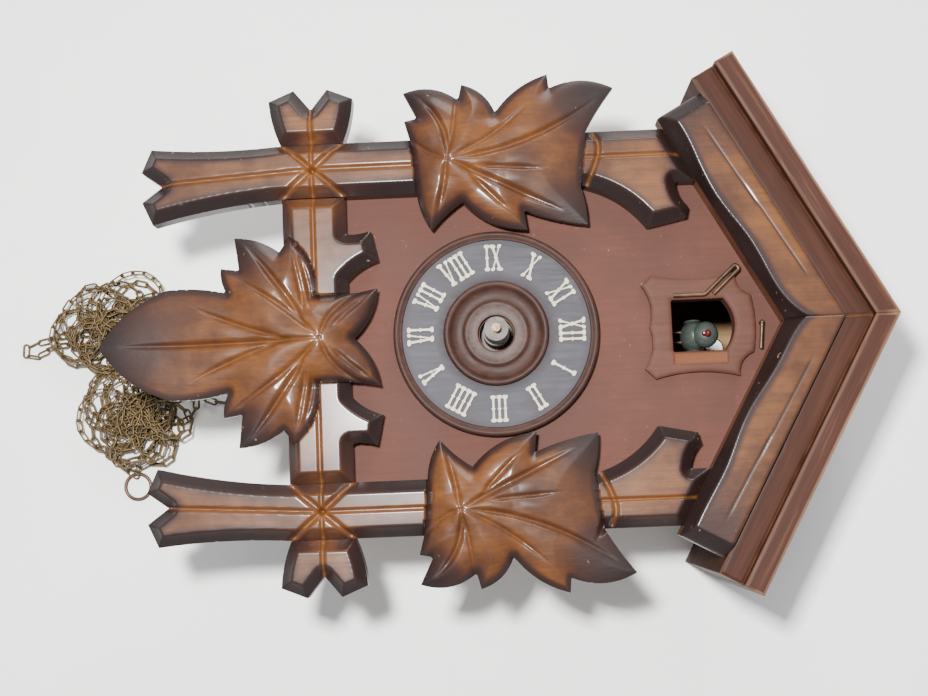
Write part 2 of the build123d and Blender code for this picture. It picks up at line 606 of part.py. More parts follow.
great = wheel(TIME_GREAT, GREAT_TEETH, GREAT_M, GREAT_Z, GREAT_T, 8.5, 21.5)
nodes["time_chain_wheel"] = great + sprocket(TIME_GREAT, time_chain_z) + arbor(TIME_GREAT) + \
    disc(*TIME_GREAT, GREAT_Z + 1, time_chain_z, 5)

centre_phase = mesh(TIME_GREAT, GREAT_TEETH, 0.0, CENTRE, CENTRE_PINION)
centre = arbor(CENTRE, z1=pipe_end - 1) + wheel(CENTRE, CENTRE_TEETH, CENTRE_M, CENTRE_WHEEL_Z, WHEEL_T, 5, 14.5)
centre += gear(CENTRE, CENTRE_PINION, GREAT_M, CENTRE_PINION_Z, CENTRE_PINION_Z + 4, centre_phase)
centre += gear(CENTRE, CANNON, MOTION_M, face + 0.7, face + 2.4)
centre += disc(*CENTRE, pipe_end - 7, pipe_end + 0.3, JOURNAL_R)
centre += disc(*CENTRE, pipe_end + 0.3, pipe_end + 0.3 + NOSE_L, NOSE_R)
nodes["centre_arbor"] = centre

third_phase = mesh(CENTRE, CENTRE_TEETH, 0.0, THIRD, THIRD_PINION)
third = arbor(THIRD) + wheel(THIRD, THIRD_TEETH, THIRD_M, THIRD_WHEEL_Z, WHEEL_T, 4, 11)
third += gear(THIRD, THIRD_PINION, CENTRE_M, THIRD_PINION_Z, THIRD_PINION_Z + PINION_T, third_phase)
nodes["third_wheel"] = third

ESCAPE_TEETH = 30
ESCAPE_R = 12.0
ESCAPE_ROOT = 9.8
escape_phase = mesh(THIRD, THIRD_TEETH, 0.0, ESCAPE, ESCAPE_PINION)
saw = []
for k in range(ESCAPE_TEETH):
    a = 2 * pi / ESCAPE_TEETH * k
    saw.append((ESCAPE[0] + ESCAPE_R * cos(a), ESCAPE[1] + ESCAPE_R * sin(a)))
    saw.append((ESCAPE[0] + ESCAPE_ROOT * cos(a + 0.03), ESCAPE[1] + ESCAPE_ROOT * sin(a + 0.03)))
escape_front = ESCAPE_WHEEL_Z + THIN_WHEEL_T
escape = crossed(prism(saw, ESCAPE_WHEEL_Z, escape_front), ESCAPE, ESCAPE_WHEEL_Z, escape_front, 3.5, 8)
escape += arbor(ESCAPE)
escape += gear(ESCAPE, ESCAPE_PINION, THIRD_M, ESCAPE_PINION_Z, ESCAPE_PINION_Z + PINION_T - 0.1, escape_phase)
nodes["escape_wheel"] = escape

# The crutch hangs behind the back plate, and ends below the case in an eye for the pendulum's wire.
CRUTCH_Z = plate_back_z - 5.8
CRUTCH_T = 1.2
CRUTCH_FOOT = -62.0
vx, vy = VERGE
verge = arbor(VERGE, z0=CRUTCH_Z - 1.2) + disc(vx, vy, ESCAPE_WHEEL_Z - 0.5, escape_front + 0.5, 2.2)
for s in (-1, 1):
    pallet = [(s * 1, vy + 0.5), (s * 9, vy - 3), (s * 10, vy - 6.8), (s * 9, vy - 7), (s * 7.6, vy - 4.4),
              (s * 1, vy - 1.4)]
    verge += prism([(vx + x, y) for x, y in pallet][::s], ESCAPE_WHEEL_Z - 0.2, escape_front + 0.2)
nodes["verge"] = verge
crutch = block(vx - 1.2, vx + 1.2, CRUTCH_FOOT, vy - 2, CRUTCH_Z, CRUTCH_Z + CRUTCH_T) + \
    disc(vx, vy, CRUTCH_Z - 0.7, CRUTCH_Z + 2.3, ARBOR_R + 1.4)
crutch -= disc(vx, vy, CRUTCH_Z - 2, CRUTCH_Z + 4, ARBOR_R)
nodes["pendulum_leader"] = crutch

# --- motion work ------------------------------------------------------------------------------------------
MINUTE_Z = face + 0.9
MINUTE_PINION_Z = MINUTE_Z + 1.2
HOUR_Z = face + 3.3
HOUR_T = 1.4
minute_phase = mesh(CENTRE, CANNON, 0.0, MINUTE_STUD, MINUTE_TEETH)
minute = gear(MINUTE_STUD, MINUTE_TEETH, MOTION_M, MINUTE_Z, MINUTE_PINION_Z, minute_phase, ARBOR_R + RUN)
minute += gear(MINUTE_STUD, MINUTE_PINION, HOUR_M, MINUTE_PINION_Z, MINUTE_PINION_Z + 3, 0.0, ARBOR_R + RUN)
nodes["minute_wheel"] = minute
hour_phase = mesh(MINUTE_STUD, MINUTE_PINION, 0.0, CENTRE, HOUR_TEETH)
hour = gear(CENTRE, HOUR_TEETH, HOUR_M, HOUR_Z, HOUR_Z + HOUR_T, hour_phase)
hour += disc(*CENTRE, HOUR_Z, pipe_end - HAND_SEAT, PIPE_R + PIPE_SHOULDER) + disc(*CENTRE, HOUR_Z, pipe_end, PIPE_R)
hour -= disc(*CENTRE, HOUR_Z - 1, pipe_end + 1, JOURNAL_R + RUN)
nodes["hour_wheel"] = hour

# --- strike train -----------------------------------------------------------------------------------------
STRIKE_GREAT_Z = plate_back_z + 28.2
PIN_PINION_Z = plate_back_z + 27.4
PIN_WHEEL_Z = plate_back_z + 10.0
WARN_PINION_Z = plate_back_z + 9.0
WARN_WHEEL_Z = plate_back_z + 15.6
FLY_PINION_Z = plate_back_z + 14.6
FLY_Z = plate_back_z + 19.0
LIFT_PINS = 12
LIFT_PIN_R = 0.7
FLY_HALF_W = 8.0
FLY_TALL = 9.0

great = wheel(STRIKE_GREAT, GREAT_TEETH, GREAT_M, STRIKE_GREAT_Z, GREAT_T, 8.5, 21.5)
nodes["strike_chain_wheel"] = great + sprocket(STRIKE_GREAT, strike_chain_z) + arbor(STRIKE_GREAT) + \
    disc(*STRIKE_GREAT, strike_chain_z, STRIKE_GREAT_Z + 0.8, 5)
pin_phase = mesh(STRIKE_GREAT, GREAT_TEETH, 0.0, PIN_WHEEL, PIN_PINION)
pins = arbor(PIN_WHEEL) + wheel(PIN_WHEEL, PIN_TEETH, PIN_M, PIN_WHEEL_Z, WHEEL_T, 4, 8.6)
pins += gear(PIN_WHEEL, PIN_PINION, GREAT_M, PIN_PINION_Z, PIN_PINION_Z + PINION_T, pin_phase)
for k in range(LIFT_PINS):
    a = 2 * pi / LIFT_PINS * k
    pins += disc(PIN_WHEEL[0] + 11 * cos(a), PIN_WHEEL[1] + 11 * sin(a), PIN_WHEEL_Z, PIN_WHEEL_Z + PINION_T, LIFT_PIN_R)
nodes["pin_wheel"] = pins
warn_phase = mesh(PIN_WHEEL, PIN_TEETH, 0.0, WARNING, WARN_PINION)
warning = arbor(WARNING) + wheel(WARNING, WARN_TEETH, WARN_M, WARN_WHEEL_Z, THIN_WHEEL_T, 3.5, 9.6)
warning += gear(WARNING, WARN_PINION, PIN_M, WARN_PINION_Z, WARN_PINION_Z + PINION_T, warn_phase)
nodes["warning_wheel"] = warning
fly_phase = mesh(WARNING, WARN_TEETH, 0.0, FLY, FLY_PINION)
fly = arbor(FLY) + gear(FLY, FLY_PINION, WARN_M, FLY_PINION_Z, FLY_PINION_Z + PINION_T - 0.2, fly_phase)
fly += block(FLY[0] - FLY_HALF_W, FLY[0] + FLY_HALF_W, FLY[1] - 0.4, FLY[1] + 0.4, FLY_Z, FLY_Z + FLY_TALL)
nodes["fly"] = fly + disc(*FLY, FLY_Z, FLY_Z + FLY_TALL, ARBOR_R + 0.8)

# --- gong and hammer --------------------------------------------------------------------------------------
path = None
x, y = GONG[0] - GONG_R, GONG[1]
for k in range(GONG_HALF_TURNS):
    r = GONG_R - k * GONG_GAP / 2
    way = 1 if k % 2 == 0 else -1
    arc = ThreePointArc((x, y, gong_z), (x + way * r, y - way * r, gong_z), (x + way * 2 * r, y, gong_z))
    path = arc if path is None else path + arc
    x += way * 2 * r
start = Plane(path @ 0, z_dir=path % 0)
nodes["gong"] = sweep(start * Circle(GONG_WIRE), path=path)
base = block(x - 5, x + 5, y - 6, y + 6, BACK_T, gong_z + 4)
nodes["gong_base"] = base - sweep(start * Circle(GONG_WIRE + 0.03), path=path)

head_x = GONG[0] - GONG_R - GONG_WIRE - HAMMER_HEAD + 1.0
hx, hy = HAMMER
lift_z = PIN_WHEEL_Z - 4.0
hammer = disc(hx, hy, gong_z - 2, arbor_front, ARBOR_R)
hammer += block(hx, hx + 6, hy - 0.7, hy + 0.7, lift_z, lift_z + 2.5)
hammer += rod((hx, hy, gong_z), (head_x - 1, GONG[1], gong_z), 0.8)
hammer += Pos(hx, hy, gong_z) * Sphere(ARBOR_R + 0.8)
nodes["hammer"] = hammer + Pos(head_x, GONG[1], gong_z) * Rot(0, 90, 0) * Cylinder(HAMMER_HEAD, HAMMER_HEAD)

# --- bellows ----------------------------------------------------------------------------------------------
box_in = move_half_w + WHISTLE_GAP
box_out = inner_w - 0.5
box_z0 = plate_back_z + 4.0
box_z1 = box_z0 + WHISTLE_DEPTH
fold_top = WHISTLE_TOP + FOLDS * FOLD_T
lever_z = box_z1 + 2.4
whistles = []
all_folds = []
for s, name in ((-1, "left"), (1, "right")):
    wall = WHISTLE_WALL
    low = MOVE_LOW + 2
    box = block(s * box_in, s * box_out, low, WHISTLE_TOP, box_z0, box_z1)
    box -= block(s * (box_in + wall), s * (box_out - wall), low + wall, WHISTLE_TOP - wall, box_z0 + wall,
                 box_z1 - wall)
    box -= block(s * (box_in + 4), s * (box_out - 4), WHISTLE_TOP - 12, WHISTLE_TOP - 8, box_z0 - 1, box_z0 + wall + 1)
    whistles.append(box)
    folds = None
    for k in range(FOLDS):
        y = WHISTLE_TOP + FOLD_T * k
        tuck = 1.6 if k % 2 else 1.0
        leaf = block(s * (box_in + tuck), s * (box_out - tuck), y, y + FOLD_T, box_z0 + tuck, box_z1 - tuck)
        folds = leaf if folds is None else folds + leaf
    all_folds.append(folds)
    nodes[name + "_bellows_top"] = block(s * box_in, s * box_out, fold_top + 0.2, fold_top + 2.4, box_z0, box_z1)
    ax, ay = s * BELLOWS_ARBOR[0], BELLOWS_ARBOR[1]
    elbow = (s * (box_in + 3), fold_top + 6, lever_z)
    lever = arbor((ax, ay)) + rod((ax, ay, lever_z), elbow, 0.8)
    lever += rod((elbow[0], elbow[1], lever_z + 0.8), (elbow[0], elbow[1], box_z1 - 6), 0.8)
    nodes[name + "_bellows_lever"] = lever + Pos(*elbow) * Sphere(0.8)
nodes["whistle_boxes"] = group(whistles)
nodes["bellows_folds"] = group(all_folds)

# --- chains -----------------------------------------------------------------------------------------------
inside = []
for (x, y), z in ((TIME_GREAT, time_chain_z), (STRIKE_GREAT, strike_chain_z)):
    start = (x - STRAND, CASE_BOTTOM, z)
    over = ThreePointArc((x - STRAND, y, z), (x, y + STRAND, z), (x + STRAND, y, z))
    loop = Line(start, (x - STRAND, y, z)) + over + Line((x + STRAND, y, z), (x + STRAND, CASE_BOTTOM, z))
    inside.append(sweep(Plane(start, z_dir=(0, 1, 0)) * Circle(CHAIN_W / 2), path=loop))
nodes["chain_inside"] = group(inside)

FLOOR_LIE = CHAIN_W / 2
# Where each strand meets the heap, on the bench.
LANDING = {
    ("strike", "hook"): (-16.0, -140.0),
    ("strike", "ring"): (-7.0, -137.0),
    ("time", "hook"): (3.0, -134.0),
    ("time", "ring"): (14.0, -131.0),
}


def lead_points(key):
    """Route of one strand from its hole in the bottom board down to the bench and on to the heap."""
    x, z = strands[key]
    ex, ey = LANDING[key]
    y = CASE_BOTTOM
    mid = (x + ex) / 2
    return [(x, y, z), (x, y - 12, z - 4), (x, y - 17, z - 20), (x, y - 19, z * 0.34), (mid, y - 29, 6.5),
            (ex * 0.7 + mid * 0.3, y - 42, FLOOR_LIE + 0.2), (ex, ey, FLOOR_LIE)]


def cord_radii(points):
    """Largest arc at each corner: 0.45 of its shorter run over the tangent of half the turn."""
    radii = []
    for a, b, c in zip(points, points[1:], points[2:]):
        u = Vector(*b) - Vector(*a)
        v = Vector(*c) - Vector(*b)
        radii.append(0.45 * min(u.length, v.length) / tan(radians(u.get_angle(v)) / 2))
    return radii


leads = []
for key in strands:
    route = lead_points(key)
    radii = cord_radii(route)
    leads.append(bent_wire(route, radii, CHAIN_W / 2))
    print("_".join(key), "radii", [round(r, 1) for r in radii], "length", round(wire_path(route, radii).length, 1))

nodes["chain_leads"] = group(leads)

# The heap of chain has two lobes: the time chain's near the middle, the strike chain's further down and left.
HEAPS = {
    "time": [(14.0, -131.0), (31.0, -140.0), (41.0, -149.0), (43.0, -166.0), (28.0, -180.0), (10.0, -186.0),
             (-1.0, -178.0), (-2.0, -160.0), (0.0, -134.0)],
    "strike": [(-6.0, -136.0), (-3.0, -160.0), (-2.3, -179.0), (-4.0, -193.0), (-9.0, -211.0), (-19.0, -192.0),
               (-33.0, -190.0), (-42.0, -178.0), (-41.0, -160.0), (-34.0, -148.0), (-16.0, -139.0)],
}
HEAP_STEPS = [(0.0, 1.0), (0.45, 0.93), (0.8, 0.72), (1.0, 0.45)]     # share of the height, share of the width


def heap(ring):
    """A mound over a rounded outline: sections that shrink towards its top."""
    mx = sum(x for x, _ in ring) / len(ring)
    my = sum(y for _, y in ring) / len(ring)
    sections = []
    for up, wide in HEAP_STEPS:
        points = [(mx + wide * (x - mx), my + wide * (y - my)) for x, y in ring]
        sections.append(Pos(0, 0, up * HEAP_H) * make_face(Spline(*points, periodic=True)))
    return loft(sections, ruled=True)


nodes["chain_heap"] = heap(HEAPS["time"]) + heap(HEAPS["strike"])


HOOK_L = 9.0
HOOK_W = 7.0
INSIDE_HEAP_Z = 5.0       # height of a ring or hook that lies in the heap


def ring_at(x, y, z):
    return Pos(x, y, z) * Torus(RING_R, RING_WIRE)


def weight_hook(x, y):
    """An open wire hook."""
    z = INSIDE_HEAP_Z
    points = [(x, y, z), (x, y - HOOK_L, z), (x + HOOK_W, y - HOOK_L, z), (x + HOOK_W, y - HOOK_L / 3, z)]
    return bent_wire(points, 3, RING_WIRE)


nodes["chain_rings"] = group([ring_at(51.0, -162.0, RING_WIRE), ring_at(-14.0, -162.0, INSIDE_HEAP_Z)])
nodes["weight_hooks"] = group([weight_hook(10.0, -150.0), weight_hook(-32.0, -160.0)])

# --- save -------------------------------------------------------------------------------------------------
os.makedirs("parts", exist_ok=True)
for name, shape in nodes.items():
    export_step(Pos(0, -HANG_Y, 0) * shape, "parts/" + name + ".step")
print(len(nodes), "nodes")
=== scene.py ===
import json
import math

import bpy
import numpy as np
from mathutils import Matrix, Vector


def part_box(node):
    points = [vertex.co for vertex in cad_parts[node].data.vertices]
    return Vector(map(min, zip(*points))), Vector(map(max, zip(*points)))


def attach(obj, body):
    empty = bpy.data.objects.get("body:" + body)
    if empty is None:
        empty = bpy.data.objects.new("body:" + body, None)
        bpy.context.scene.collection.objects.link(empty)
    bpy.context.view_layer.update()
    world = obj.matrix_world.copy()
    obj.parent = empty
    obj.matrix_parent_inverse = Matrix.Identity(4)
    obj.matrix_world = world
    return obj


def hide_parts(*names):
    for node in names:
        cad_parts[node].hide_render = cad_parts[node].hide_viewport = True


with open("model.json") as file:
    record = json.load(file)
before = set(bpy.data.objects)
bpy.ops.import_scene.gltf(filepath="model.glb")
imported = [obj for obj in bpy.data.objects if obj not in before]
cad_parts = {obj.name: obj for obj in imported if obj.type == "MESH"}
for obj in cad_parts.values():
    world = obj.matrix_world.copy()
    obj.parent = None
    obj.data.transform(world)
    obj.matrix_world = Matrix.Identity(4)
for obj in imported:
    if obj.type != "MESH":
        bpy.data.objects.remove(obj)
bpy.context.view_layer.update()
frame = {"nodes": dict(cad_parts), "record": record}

# Cuckoo clock lying on its back. Pieces are drawn in millimetres about the middle of the dial: x to the
# clock's right, y up the clock, z out of its face. piece() puts them into the frame, in metres.


MM = 0.001                         # one millimetre in metres
DIAL_Y = sum(corner[1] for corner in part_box("chapter_ring")) / 2


def height_of(node, end=1):
    """Lowest (0) or highest (1) z of a CAD node, in millimetres."""
    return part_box(node)[end][2] / MM


PANEL_Z = height_of("front_panel")
BRANCH_Z = height_of("bottom_branch")
LEAF_BACK = height_of("bottom_leaf", 0)
LEAF_Z = height_of("bottom_leaf")
TRIM_Z = height_of("left_trim")
ROOF_Z = height_of("left_roof")
TOP_Z = height_of("left_roof_top")
CHAPTER_Z = height_of("chapter_ring")
GABLE_Y = 130.0                    # where the outer lines of the two trims meet
TRIM_W = 18.8                      # width of a trim, square to the slope
ROOF_ANGLE = math.radians(29)      # slope of the roof


def place(points):
    """Millimetres about the dial to metres in the frame."""
    p = np.array(points, float) * MM
    p[:, 1] += DIAL_Y
    return p


# --- finishes ---------------------------------------------------------------------------------------------
def linear(code):
    """sRGB hex to linear RGBA."""
    parts = [int(code[i:i + 2], 16) / 255 for i in (1, 3, 5)]
    return tuple(c / 12.92 if c <= 0.04045 else ((c + 0.055) / 1.055) ** 2.4 for c in parts) + (1.0,)


def add(tree, kind, sockets, **settings):
    """Add a node: settings are its properties, sockets its inputs by name or number, each set or linked."""
    node = tree.nodes.new("ShaderNode" + kind)
    for key, value in settings.items():
        setattr(node, key, value)
    for key, value in sockets.items():
        if isinstance(value, bpy.types.NodeSocket):
            tree.links.new(value, node.inputs[key])
        else:
            node.inputs[key].default_value = value
    return node


ROUND = (1.0, 1.0, 1.0)       # a pattern as long as it is wide
UPRIGHT = (1.0, 0.06, 1.0)    # grain up the clock: 16 times as long as it is wide
WAVY = (1.0, 0.12, 1.0)       # growth rings up the clock
TOOLED = (1.0, 0.3, 1.0)      # marks of a gouge: 3 times as long as they are wide
STREAKED = (1.0, 0.1, 1.0)    # weathered streaks up the clock
RAGGED = 0.5                  # how far a pattern's noise frays the edge of a mesh attribute
NOISE = {"Detail": 4.0, "Roughness": 0.6}     # every pattern's noise: 4 finer layers, each 0.6 as strong
MIX_A, MIX_B, MIX_RESULT = 6, 7, 2      # colour sockets of a Mix node


def finish(name, ground, patterns, layers, rough, bumps=(), along_slope=False, **shader):
    """A finish laid on from the ground colour outwards.
    patterns: name: (mesh attribute or None, grain width in mm or None, stretch, low, high). Its value is the
    attribute plus the frayed noise, or either alone, brought from low..high to 0..1.
    layers: (patterns, amount, colour) lays the colour on where the product of the patterns is high.
    rough: (pattern, roughness where it is 0, and where it is 1). bumps: (pattern, strength, depth in mm).
    along_slope: the patterns follow the mesh attributes "along" and "across", so grain runs down the roof."""
    material = bpy.data.materials.new(name)
    material.use_nodes = True
    tree = material.node_tree
    surface = tree.nodes["Principled BSDF"]
    spot = add(tree, "TexCoord", {}).outputs["Object"]
    if along_slope:
        height = add(tree, "SeparateXYZ", {0: spot}).outputs[2]
        run = add(tree, "Attribute", {}, attribute_name="along").outputs["Fac"]
        run = add(tree, "Math", {0: run, 1: UPRIGHT[1]}, operation="MULTIPLY").outputs[0]
        across = add(tree, "Attribute", {}, attribute_name="across").outputs["Fac"]
        spot = add(tree, "CombineXYZ", {0: run, 1: across, 2: height}).outputs[0]
    share, raw = {}, {}
    for key, (attribute, width, stretch, low, high) in patterns.items():
        own = value = None
        if attribute:
            own = value = add(tree, "Attribute", {}, attribute_name=attribute).outputs["Fac"]
        if width:
            stretched = add(tree, "Mapping", {"Vector": spot, "Scale": stretch}).outputs[0]
            noise = {"Vector": stretched, "Scale": 1 / (width * MM), **NOISE}
            value = raw[key] = add(tree, "TexNoise", noise).outputs[0]
        if attribute and width:
            value = add(tree, "Math", {0: value, 1: RAGGED, 2: own}, operation="MULTIPLY_ADD").outputs[0]
        share[key] = add(tree, "MapRange", {"Value": value, "From Min": low, "From Max": high}).outputs[0]
    colour = linear(ground)
    for keys, amount, code in layers:
        weight = amount
        for key in keys:
            weight = add(tree, "Math", {0: share[key], 1: weight}, operation="MULTIPLY").outputs[0]
        mix = {0: weight, MIX_A: colour, MIX_B: linear(code)}
        colour = add(tree, "Mix", mix, data_type="RGBA").outputs[MIX_RESULT]
    tree.links.new(colour, surface.inputs["Base Color"])
    key, low, high = rough
    roughness = add(tree, "MapRange", {"Value": share[key], "To Min": low, "To Max": high}).outputs[0]
    tree.links.new(roughness, surface.inputs["Roughness"])
    normal = None
    for key, strength, depth in bumps:
        sockets = {"Height": raw[key], "Strength": strength, "Distance": depth * MM}
        if normal is not None:
            sockets["Normal"] = normal
        normal = add(tree, "Bump", sockets).outputs[0]
    if normal is not None:
        tree.links.new(normal, surface.inputs["Normal"])
    for key, value in shader.items():
        surface.inputs[key].default_value = value
    return material


# Patterns that several finishes share: (attribute, width in mm, stretch, low, high).
BLOTCH = (None, 22, ROUND, 0.38, 0.62)        # uneven stain, patches about 2 cm across
GRAIN = (None, 1.4, UPRIGHT, 0.42, 0.7)       # grain lines a little over 1 mm apart, their real spacing
SLOPE_GRAIN = (None, 1.4, ROUND, 0.42, 0.7)   # the same on a roof board, which is stretched by along_slope
RINGS = (None, 3.8, WAVY, 0.4, 0.62)          # growth rings 4 mm apart
DUST = (None, 2.3, ROUND, 0.68, 0.74)         # dust and rub marks of 1 or 2 mm
TARNISH = (None, 4.0, ROUND, 0.35, 0.65)      # tarnish in patches of 4 mm
GRIME = (None, 0.5, ROUND, 0.5, 0.75)         # grime: finer than 0.5 mm when real, drawn to show

MATTE = {"Specular IOR Level": 0.12}
SATIN = {"Specular IOR Level": 0.15}
LACQUER = {"Specular IOR Level": 0.15, "Coat Weight": 0.35, "Coat Roughness": 0.2}


def metal(name, ground, tarnish, grime, rough, bump, metallic):
    """A metal's finish: tarnish in patches on the ground colour, then grime (amount, colour), whose grains
    also give the roughness and the bump."""
    return finish(name, ground, {"tarnish": TARNISH, "grime": GRIME},
                  [(("tarnish",), 1.0, tarnish), (("grime",), *grime)], ("grime", *rough),
                  [("grime", bump, 0.1)], Metallic=metallic)


FINISHES = {
    # Limewood, carved, stained golden, sprayed dark on edges and tips, brush lacquered: amber with
    # violet-brown shading, pale cut lines, and glints that follow the tool marks. Its dark layers also lay
    # painted shade into the trims' carved lines.
    "carved_wood": finish(
        "carved_stained_limewood", "#5c3617",
        {"blotch": BLOTCH, "rings": RINGS, "fibre": (None, 1.1, UPRIGHT, 0.45, 0.7),
         "tool": (None, 2.4, TOOLED, 0.4, 0.6), "brown": ("burn_and_shade", 22, ROUND, 0.3, 0.75),
         "dark": ("burn_and_shade", 22, ROUND, 0.55, 1.2), "edge": ("burn_and_shade", None, ROUND, 0.3, 0.8),
         "cut": ("cut", None, ROUND, 0.0, 1.25), "chip": (None, 2.6, ROUND, 0.69, 0.72)},
        [(("blotch",), 1.0, "#432511"), (("rings",), 0.35, "#2f1a0e"), (("fibre",), 0.3, "#28160d"),
         (("brown",), 1.0, "#301a12"), (("dark",), 1.0, "#1a100f"), (("cut",), 0.65, "#6a401b"),
         (("chip", "edge"), 0.5, "#8a7358")],
        ("blotch", 0.45, 0.6), [("fibre", 0.35, 0.2), ("tool", 0.25, 0.5)], **LACQUER),
    # Plywood front, stained red-brown and left matte: even, dusty, with faint upright grain.
    "case_wood": finish(
        "matte_stained_plywood", "#462a22",
        {"blotch": BLOTCH, "grain": GRAIN, "dust": DUST},
        [(("blotch",), 1.0, "#50322a"), (("grain",), 0.22, "#38231c"), (("dust",), 0.55, "#80665c")],
        ("blotch", 0.6, 0.74), [("grain", 0.15, 0.3)], **MATTE),
    # Softwood boards, sawn and never stained: straw brown with open grain.
    "raw_wood": finish(
        "sawn_bare_softwood", "#84684a",
        {"blotch": BLOTCH, "grain": GRAIN, "rings": RINGS},
        [(("blotch",), 1.0, "#8f7353"), (("rings",), 0.4, "#72573a"), (("grain",), 0.45, "#604932")],
        ("blotch", 0.65, 0.8), [("grain", 0.25, 0.3)], **MATTE),
    # Roof boards under the top ones, stained almost black-brown: soft sheen, rubbed thin at the arrises.
    "roof_dark": finish(
        "dark_stained_roof_board", "#2f170e",
        {"blotch": BLOTCH, "grain": SLOPE_GRAIN, "streak": (None, 3.8, ROUND, 0.56, 0.66),
         "edge": ("wear_and_shade", 3.0, ROUND, 0.5, 1.2)},
        [(("blotch",), 1.0, "#3b2015"), (("grain",), 0.5, "#1e0f07"), (("streak", "blotch"), 0.2, "#523424"),
         (("edge",), 0.7, "#5c3e2b")],
        ("blotch", 0.5, 0.65), [("grain", 0.2, 0.3)], along_slope=True, **MATTE),
    # Top roof boards, the same stain worn through by handling: pale wood along the edges and in long streaks.
    "roof_worn": finish(
        "rubbed_stained_roof_board", "#351d15",
        {"blotch": BLOTCH, "grain": SLOPE_GRAIN, "streak": (None, 2.2, ROUND, 0.55, 0.64),
         "edge": ("wear_and_shade", 3.0, ROUND, 0.42, 0.95)},
        [(("blotch",), 1.0, "#3f251c"), (("grain",), 0.5, "#27150f"), (("streak", "blotch"), 0.35, "#74543f"),
         (("edge", "blotch"), 0.9, "#94775f"), (("edge",), 0.3, "#6f5241")],
        ("blotch", 0.55, 0.7), [("grain", 0.3, 0.3)], along_slope=True, **MATTE),
    # Surround of the bird's door: the panel's stain on finer wood, a little warmer.
    "door_wood": finish(
        "sawn_stained_surround", "#472c22",
        {"blotch": BLOTCH, "grain": GRAIN, "dust": DUST, "rebate": ("rebate", None, ROUND, 0.0, 1.0)},
        [(("blotch",), 1.0, "#4f332a"), (("grain",), 0.45, "#38231c"), (("rebate",), 0.8, "#5d3720"),
         (("dust",), 0.3, "#7d635a")],
        ("blotch", 0.55, 0.7), [("grain", 0.15, 0.3)], **MATTE),
    # Beech, turned on a lathe and stained: fine grain, and a grey bloom where its middle has been rubbed.
    "dial_brown": finish(
        "turned_stained_beech", "#2c1c17",
        {"blotch": (None, 8, ROUND, 0.35, 0.65), "grain": (None, 1.1, WAVY, 0.45, 0.7),
         "bloom": ("wear_and_shade", 2.0, ROUND, 0.55, 1.3)},
        [(("blotch",), 1.0, "#38241e"), (("grain",), 0.4, "#1d120e"), (("bloom",), 0.8, "#625653")],
        ("blotch", 0.5, 0.62), [("grain", 0.2, 0.2)], **SATIN),
    # Dial ring: grey stain weathered along the grain, blue-grey with brown showing through, and painted
    # shade, darker, beside the moulding and the rim.
    "dial_grey": finish(
        "weathered_grey_stained_wood", "#2c2b30",
        {"streak": (None, 2.0, STREAKED, 0.35, 0.7), "blotch": (None, 17, ROUND, 0.5, 0.72),
         "rim_shade": ("wear_and_shade", 6.0, ROUND, 0.35, 1.25)},
        # The third layer is painted shade: the ring darkened beside the moulding and the rim.
        [(("streak",), 1.0, "#464449"), (("blotch",), 0.6, "#35292a"), (("rim_shade",), 0.9, "#231d20")],
        ("streak", 0.5, 0.62), [("streak", 0.3, 0.3)], **SATIN),
    # Polystyrene numerals, moulded: smooth cream gone dull.
    "numeral_plastic": finish(
        "moulded_cream_plastic", "#b5ad99", {"dirt": (None, 3.0, ROUND, 0.3, 0.7)},
        [(("dirt",), 1.0, "#9c937d")], ("dirt", 0.45, 0.6), [("dirt", 0.1, 0.1)]),
    # Brass plates and wheels, stamped and cut: yellow gone brown in patches, with a soft shine.
    "brass": metal("stamped_aged_brass", "#b0904f", "#8a6d3a", (0.4, "#2a2119"), (0.3, 0.5), 0.12, 1.0),
    # Zinc hour pipe and bracket, cast and dull: grey with a warm film.
    "grey_metal": metal("cast_dull_zinc", "#6b655f", "#58524d", (0.5, "#2b231e"), (0.75, 0.85), 0.2, 0.3),
    # Steel rod, wire and nails, drawn and left bare: even grey with a soft shine.
    "steel": metal("drawn_dull_steel", "#8f8f92", "#6f6f72", (0.4, "#2f2723"), (0.3, 0.5), 0.12, 1.0),
    # Steel wire of the door, rings and hooks, drawn and browned by rust: brown, shining only a little.
    "dark_wire": metal("browned_steel_wire", "#5c412d", "#3d2c1f", (0.5, "#241913"), (0.4, 0.6), 0.2, 0.6),
    # Brass chain, links bent from wire and tarnished: dull yellow-brown.
    "chain_brass": metal("tarnished_brass_wire", "#64502e", "#483921", (0.5, "#261d12"), (0.5, 0.7), 0.12,
                         0.4),
    # Iron foot of the gong, sand cast and blackened: near black, with a grain of 1 mm.
    "cast_iron": finish(
        "blackened_cast_iron", "#262524", {"sand": (None, 1.0, ROUND, 0.3, 0.7)},
        [(("sand",), 1.0, "#1c1b1b")], ("sand", 0.55, 0.7), [("sand", 0.4, 0.2)]),
    # Bird, carved and brushed with oil paint: grey-green with faint brush marks and a soft shine.
    "bird_paint": finish(
        "brushed_grey_green_paint", "#3c423d", {"brush": (None, 1.6, UPRIGHT, 0.35, 0.65)},
        [(("brush",), 1.0, "#2c322e")], ("brush", 0.35, 0.5), [("brush", 0.3, 0.2)]),
    # Beak, dipped in enamel: dark red, smooth and glossy.
    "beak_red": finish(
        "dipped_red_paint", "#6e2620", {"flow": (None, 2.0, ROUND, 0.3, 0.7)},
        [(("flow",), 1.0, "#4f1a16")], ("flow", 0.3, 0.42)),
    # Bellows: folded paper and kid leather, pale and limp.
    "folds": finish(
        "folded_kid_leather", "#b6a88f", {"crease": (None, 2.5, WAVY, 0.3, 0.7)},
        [(("crease",), 1.0, "#97876c")], ("crease", 0.65, 0.8), [("crease", 0.3, 0.3)], **MATTE),
}
SLOT_OF = {entry["node"]: entry["material_slot"] for entry in frame["record"]["subparts"]}


